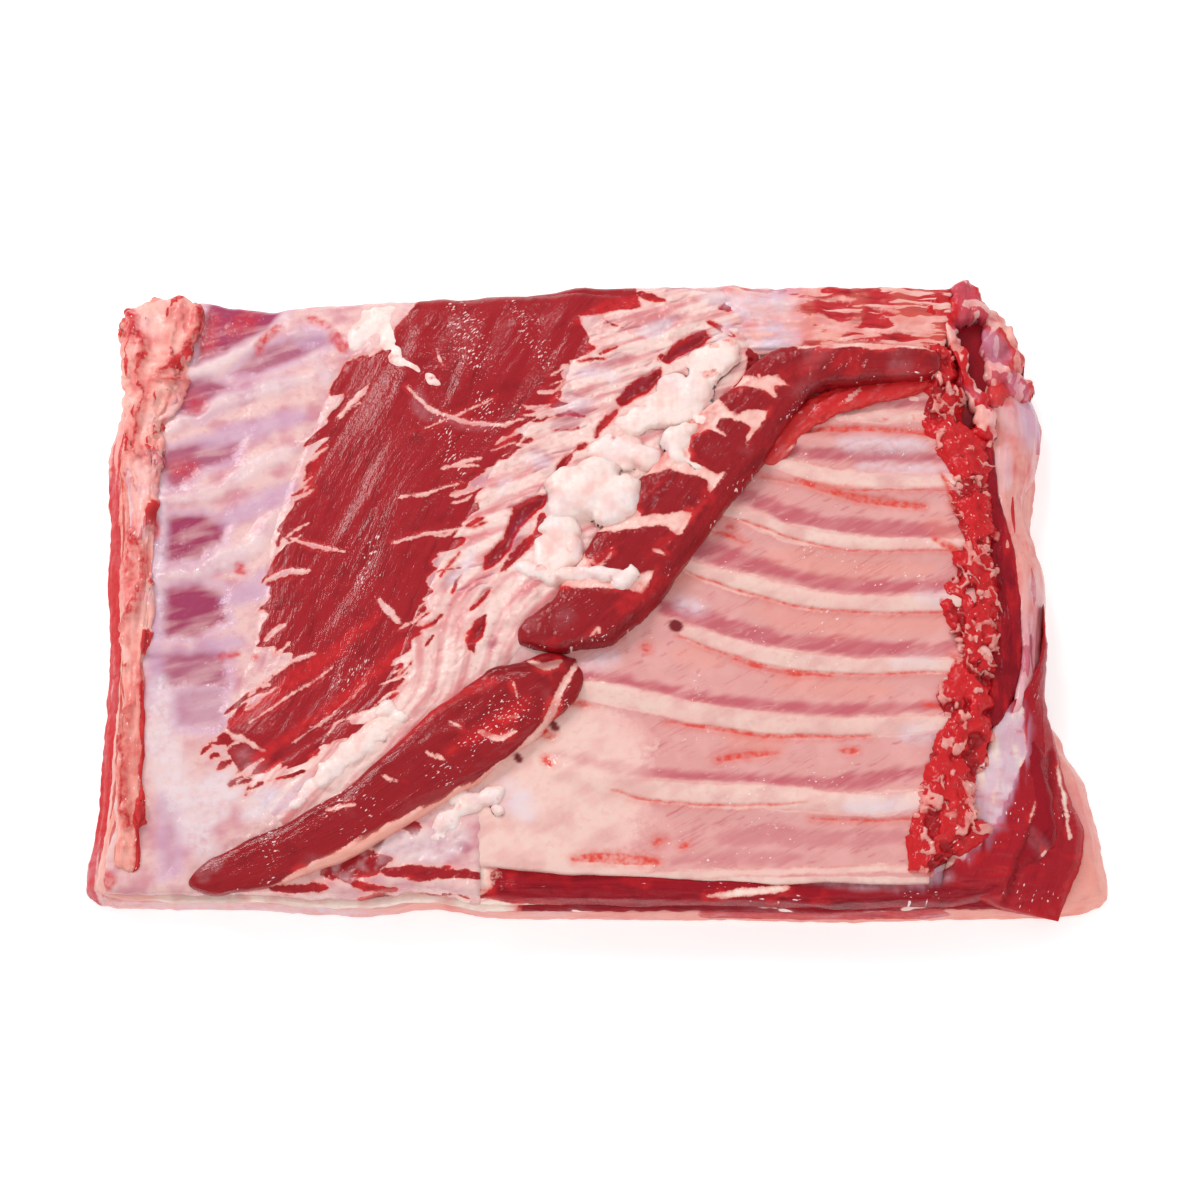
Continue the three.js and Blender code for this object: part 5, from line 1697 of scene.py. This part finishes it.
def layer(name, node, slot, material, low, high, paint, front=0, stepped=True, ledge=20.0, bulge=1.2,
        rows=12, seed=1):
    """A layer that runs through the piece: a wall that bulges a little, with a ledge inwards on top."""
    mesh, t, up = drum_grid(name, 1500, rows)
    a, b = round_square(t)
    share = np.clip(up / 0.72, 0, 1)
    inward = np.clip((up - 0.72) / 0.28, 0, 1) * ledge
    step = cross_step(mix(FRONT_Y, FAR_Y, b)) if stepped else 0
    far = 3.5 if stepped else 0
    x, y = inside(a, b, 14, 0, front, step, far)
    z = mix(low(x, y), high(x, y), share)
    swell = bulge * np.sin(math.pi * np.clip(share, 0.02, 0.98))
    way = t * 1880
    wave = 0.9 * rough(way, z * 1.5, 14, seed, 2) + 0.4 * rough(way, z * 3, 4, seed + 1)
    x, y = inside(a, b, z, inward - swell - wave * smooth(inward, 2, 0), front, step, far)
    foot = 1.2 * smooth(z, 1.5, 0)
    x, y = x - foot * np.sign(x), y - foot * np.sign(y)
    return finish_piece(mesh, name, [node], slot, material, x, y, z, (z * 3, way), paint)


def strands(x, y, z, size, seed):
    """Noise in strands along the left side."""
    return rough(x * 2 + z * 2.2, y / 7, size, seed, 3)


def paint_rind(x, y, z):
    value = blank(x)
    ragged = rough(x + y, z * 6, 30, 5, 2)
    front_red = smooth(-y, 170, 176) * smooth(x, 40, 70) * smooth(-x, -205, -180) * smooth(z, 4, 7)
    value["lean"] = -5 + 9 * front_red + 3 * ragged * front_red
    left = smooth(-x, 252, 264)
    value["lean"] = np.maximum(value["lean"], -5
        + left * (5.5 + 7 * strands(x, y, z, 11, 8)) * smooth(z, 1, 4))
    value["blood"] = 0.8 * left * smooth(value["lean"], -1, 1)
    whitish = smooth(-x, 90, 150) * smooth(-y, 150, 165)
    value["veil"] = 0.1 + 0.2 * smooth(ragged, 0.2, 0.6) + 0.45 * whitish
    value["warm"] = 0.5 * smooth(x, 20, 60) * smooth(-y, 150, 165) * (1 - front_red)
    value["lift"] = left * (0.8 * strands(x, y, z, 8, 9))
    return value


def paint_lean_layer(x, y, z, *where):
    value = blank(x)
    patch = rough(x + y, z * 4, 26, 12, 3)
    value["lean"] = 5 - 8 * smooth(patch, 0.25, 0.6)
    front_fat = smooth(-y, 150, 165) * smooth(-x, 20, 74)
    left = smooth(-x, 235, 250)
    left_fat = left * smooth(strands(x, y, z, 12, 26), -0.25, 0.15)
    value["lean"] = value["lean"] - 11 * np.maximum(front_fat, left_fat)
    value["blood"] = left * np.maximum(0.7 * smooth(value["lean"], -1, 1), 0.45 * smooth(y, -30, 10))
    value["warm"] = 0.9 * left
    value["veil"] = 0.1 * smooth(patch, 0.1, 0.5) * (1 - left) + 0.5 * left * smooth(-y, 60, 110)
    value["shade"] = 0.3 * smooth(-rough(x - y, z, 20, 14, 2), 0.1, 0.6) * (1 - left)
    value["lift"] = 0.5 * rough(x + y, z * 2, 8, 15, 3) + left * strands(x, y, z, 9, 27)
    return value


def paint_fat_layer(x, y, z, *where):
    value = blank(x)
    patch = rough(x * 1.5 + y / 2, z * 3 + y / 3, 13, 16, 3)
    right = smooth(x, 200, 225)
    left = smooth(-x, 235, 250)
    value["lean"] = -5 + (6 + 2 * right + 3 * left) * smooth(patch, 0.1 - 0.2 * left, 0.6)
    value["blood"] = left * np.maximum(0.6 * smooth(value["lean"], -1, 1),
        0.45 * smooth(y, -30, 10)) + 0.3 * right
    value["warm"] = 0.35 * right + 0.8 * left
    value["veil"] = 0.3 * smooth(rough(x, y, 20, 17), 0.1, 0.5)
    # lilac at the far end of the right side is a painted sheen on the bulge
    value["lilac"] = 0.65 * smooth(y, 70, 100) * right
    value["lift"] = 0.8 * rough(x * 1.5, y / 2, 7, 18, 3)
    return value


def make_layers():
    layer("rind_and_fat_slab", "rind_and_fat", "rind", MATERIAL["rind"], lambda x, y: 0 * x, SEAM["fat"],
        paint_rind,
          stepped=False, ledge=36, rows=16, seed=3, bulge=0.8)
    layer("outer_lean_slab", "outer_lean", "dark_lean", MATERIAL["dark_lean"],
          seam("fat", -0.3), seam("lean", 0.2), paint_lean_layer,
          seed=11)
    layer("seam_fat_slab", "seam_fat", "fat", MATERIAL["fat"],
          seam("lean", -0.3), seam("belly", 0.2), paint_fat_layer,
          front=9,
          seed=12)
    layer("inner_lean_slab", "inner_lean", "dark_lean", MATERIAL["dark_lean"],
          seam("belly", -0.3),
          lambda x, y: np.minimum(SEAM["inner"](x, y) + 0.6, top_height(x, y) - 5),
          paint_lean_layer, front=9, ledge=30, seed=13)

    swept("outer_lean_swell", ["outer_lean"], "dark_lean", MATERIAL["dark_lean"],
          [(-88, -166, 26), (-40, -167.5, 27), (60, -169, 28), (150, -170, 28), (205, -166, 26),
              (222, -152, 24)],
          64, 460, lambda t, angle: cushion(12 * smooth(t, -0.06, 0.08), 8 * smooth(t, -0.08, 0.1), 13,
              angle, 0.45),
          paint_front_lean,
          blunt=0.03, knob=0.1, size=16, seed=15)

    def corner_top(x, y, u, v):
        height = np.interp(u, [0, 0.25, 0.5, 0.75, 0.92, 1], [38, 37, 34, 28, 21, 16])
        front = smooth(y, -168, -188)
        return mix(height, 15, front * (0.5 + 0.5 * u)) + 1.2 * rough(x, y, 26, 151, 2)

    sheet("outer_lean_corner", ["outer_lean"], "dark_lean", MATERIAL["corner"], 120, 200,
          between(CORNER_LEFT, CORNER_RIGHT), corner_top, seam("fat", 0.2),
          paint_front_lean,
          taper=2, fade=4, size=(60, 150), flow=lambda x, y, u, v: (u * 60, v * 150))
    sheet("seam_fat_side", ["seam_fat"], "fat", MATERIAL["side_fat"], 70, 380, between(SIDE_LEFT, SIDE_RIGHT),
          lambda x, y, u, v: np.interp(u, [0, 0.3, 0.6, 0.85, 1], [38, 38, 35, 28, 17])
          - 6 * smooth(y, 100, 150),
          SEAM["lean"], paint_side_fat, taper=1.5, size=(26, 230),
          flow=lambda x, y, u, v: (u * 26, v * 230))
    sheet("inner_lean_side", ["inner_lean"], "dark_lean", MATERIAL["dark_lean"], 40, 300,
        between(DARK_LEFT, DARK_RIGHT),
          lambda x, y, u, v: np.interp(u, [0, 0.5, 0.85, 1], [40, 41, 39.5, 37]),
          lambda x, y: SEAM["belly"](x, y),
          paint_inner_side, taper=1, size=(18, 180), flow=lambda x, y, u, v: (u * 18, v * 180))


CORNER_LEFT = [
    (251, -8), (249, -34), (240, -56), (221, -77), (214, -97), (207, -110), (203, -122), (198, -143),
    (190, -160), (186, -173),
]
CORNER_RIGHT = [
    (253, -8), (254, -34), (252, -60), (257, -85), (260, -106), (264, -121), (269, -135), (266, -156),
    (260, -168), (252, -187),
]
CORNER_MEMBRANE = [
    (236, -70), (240, -84), (240, -100), (235, -112), (229, -124), (220, -143), (208, -158), (180, -176),
    (160, -180), (180, -150), (200, -110), (216, -74),
]
SIDE_LEFT = [
    (224, 152), (225, 120), (226, 100), (225, 75), (226, 60), (228, 48), (232, 30), (235, 13), (236, -5),
    (236, -27), (236, -45), (233, -60), (230, -74),
]
SIDE_RIGHT = [(247, 154)] + picked("far right", 20, [
    (740, 310), (775, 380), (790, 450), (780, 540), (755, 610), (740, 650), (745, 700), (765, 750),
    (780, 800), (795, 870),
]) + picked("front right", 22, [(800, 20), (795, 80), (790, 150), (780, 220), (770, 260), (745, 330)])
DARK_LEFT = [(216, 98), (219, 75), (218, 60), (220, 48), (220, 30), (219, 13), (222, -5), (218, -27),
    (216, -60), (210, -82)]
DARK_RIGHT = [
    (228, 98), (229, 75), (230, 60), (232, 48), (236, 30), (239, 13), (240, -5), (239, -27), (237, -45),
    (233, -60), (228, -72), (222, -82),
]
FRONT_FAT = [
    [[(-80, -178), (-100, -176)], 8], [[(58, -182), (80, -180), (102, -176)], 5],
    [[(256, -108), (258, -130), (259, -150)], 3], [[(236, -140), (240, -128)], 2],
]
FRONT_VEILS = [[[(112, -170), (150, -174), (190, -171)], 7]]
FRONT_SHADE = [[[(252, -100), (250, -118), (244, -135), (236, -150), (228, -168), (222, -186)], 4.5]]


def paint_front_lean(x, y, z, *where):
    value = blank(x)
    x, y = warped(x, y, 1.1)
    fat = strokes(x, y, FRONT_FAT)
    skin = region(x, y, CORNER_MEMBRANE) + 3 * rough(x * 1.5, y / 1.5, 8, 46, 2)
    fat = np.maximum(fat, skin - 4)
    point = (x + 76) * 0.2 - np.abs(z - 31) + 1.5 * rough(x, z * 2, 12, 48, 2)
    value["lean"] = np.minimum(np.minimum(6, point), -fat + 0.8 * rough(x, y * 2, 8, 19, 2))
    value["lilac"] = 0.6 * smooth(skin, -4, 4) * smooth(rough(x * 2, y / 2, 7, 47, 2), -0.5, 0.3)
    value["veil"] = 0.5 * smooth(strokes(x, y, FRONT_VEILS), -4, 4)
    folds = smooth(strokes(x, y, FRONT_SHADE), -3, 2)
    value["blood"] = 0.5 * smooth(rough(x, y * 3, 14, 28, 2), 0.2, 0.6) + 0.35 * smooth(x, 60,
        110) * smooth(-z, -22, -18)
    value["shade"] = 0.7 * folds
    # painted highlights: white glints in patches
    value["gloss"] = 0.6 * smooth(rough(x, y * 2, 20, 49, 2), 0.2, 0.5)
    value["lift"] = 0.8 * rough(x / 2, y * 2, 9, 25, 3) - 1.8 * folds
    return value


def paint_inner_side(x, y, z):
    """Dark meat on the sawn side, with brighter torn stretches."""
    value = blank(x)
    torn = rough(x * 2, y / 2, 9, 29, 3)
    value["lean"] = 5 - 9 * smooth(torn, 0.5, 0.8)
    value["blood"] = 0.6 * smooth(torn, 0.1, 0.5)
    value["shade"] = 0.35 * smooth(-torn, 0.2, 0.5)
    value["lift"] = 1.0 * rough(x * 2, y, 7, 30, 3)
    return value


def paint_side_fat(x, y, z):
    """The fat strip outside the ribs, pink with red streaks, with a red line low down."""
    value = blank(x)
    streak = rough(x * 2.2, y / 5, 9, 40, 3)
    low = smooth(-z, -26, -21) * smooth(rough(x, y, 40, 42), -0.3, 0.1)
    value["lean"] = -5 + 8 * smooth(streak, 0.3, 0.7) + 8 * low
    # lilac on top of the bulge at the far end is a painted sheen; toward the front it is the lilac of thin
    # skin
    value["lilac"] = 0.7 * smooth(y, 78, 100) * smooth(x, 236, 250) + 0.3 * smooth(-y, 0, 30)
    value["veil"] = 0.4 * smooth(rough(x, y / 3, 9, 43, 2), 0.1, 0.5)
    value["warm"] = 0.3 * smooth(-streak, 0, 0.5)
    value["lift"] = 0.9 * rough(x * 1.6, y / 3, 7, 44, 3) + 0.8 * smooth(rough(x, y, 22, 45), 0, 0.5)
    return value


# ---------------------------------------------------------------- all of it

MATERIAL = {
    "rind": meat_material("rind", fat=colour(244, 168, 156), fat_low=colour(236, 138, 128),
        lean=colour(208, 52, 52)),
    "fat": meat_material("fat", fat=colour(240, 190, 180), fat_low=colour(224, 132, 128)),
    "roll": meat_material("roll", fat=colour(246, 184, 172), fat_low=colour(238, 138, 132),
        lean=colour(214, 60, 60)),
    "belly": meat_material("belly", veil=colour(232, 214, 218), fat=colour(230, 188, 184),
        fat_low=colour(208, 140, 150), soft=0.9, fat_wet=0.3),
    "band": meat_material("band", fat=colour(242, 208, 200), fat_low=colour(218, 134, 136), streak=0.8,
        soft=0.8),
    "lump": meat_material("lump", fat=colour(248, 226, 219), fat_low=colour(242, 198, 190), mottle=90),
    "flank": meat_material("flank", rim=colour(178, 34, 40), fat=colour(230, 188, 184),
        fat_low=colour(208, 140, 150), soft=0.9),
    "skirt": meat_material("skirt", fat=colour(244, 200, 190), fat_low=colour(234, 150, 142),
        lean=colour(150, 22, 30)),
    "dark_lean": meat_material("dark_lean", lean=colour(150, 20, 34), deep=colour(104, 8, 22), coat=0.16),
    "corner": meat_material("corner", lean=colour(170, 28, 40), deep=colour(140, 14, 26), coat=0.2),
    "side_fat": meat_material("side_fat", fat=colour(232, 160, 152), fat_low=colour(220, 106, 106),
        lean=colour(196, 40, 44)),
    "torn": meat_material("torn", fat=colour(244, 176, 166), lean=colour(204, 26, 34),
        deep=colour(160, 8, 18)),
    "far": meat_material("far", fat=colour(240, 186, 178), fat_low=colour(228, 140, 138),
        lean=colour(194, 44, 50), soft=1.6),
    "raw_red": meat_material("raw_red", lean=colour(214, 44, 44), deep=colour(184, 16, 24),
        light=colour(232, 96, 84)),
    "bone": meat_material("bone", fat=colour(238, 184, 174), fat_low=colour(228, 130, 124),
        lean=colour(200, 40, 44)),
    "plate": meat_material(
        "plate", fat=colour(238, 202, 191), fat_low=colour(222, 168, 162), lean=colour(222, 158, 154),
        deep=colour(202, 116, 120), light=colour(240, 196, 190), flush=colour(240, 190, 182),
        rim=colour(228, 166, 162),
        soft=2.6, tear=2.0, stain=colour(190, 80, 96), blood=colour(222, 70, 56), bump=0.35, fat_wet=0.32,
    ),
}

add_camera()
add_studio()
make_layers()
make_left_half()
make_plate()
make_ribs()
make_skirt()
make_borders()
make_lumps()
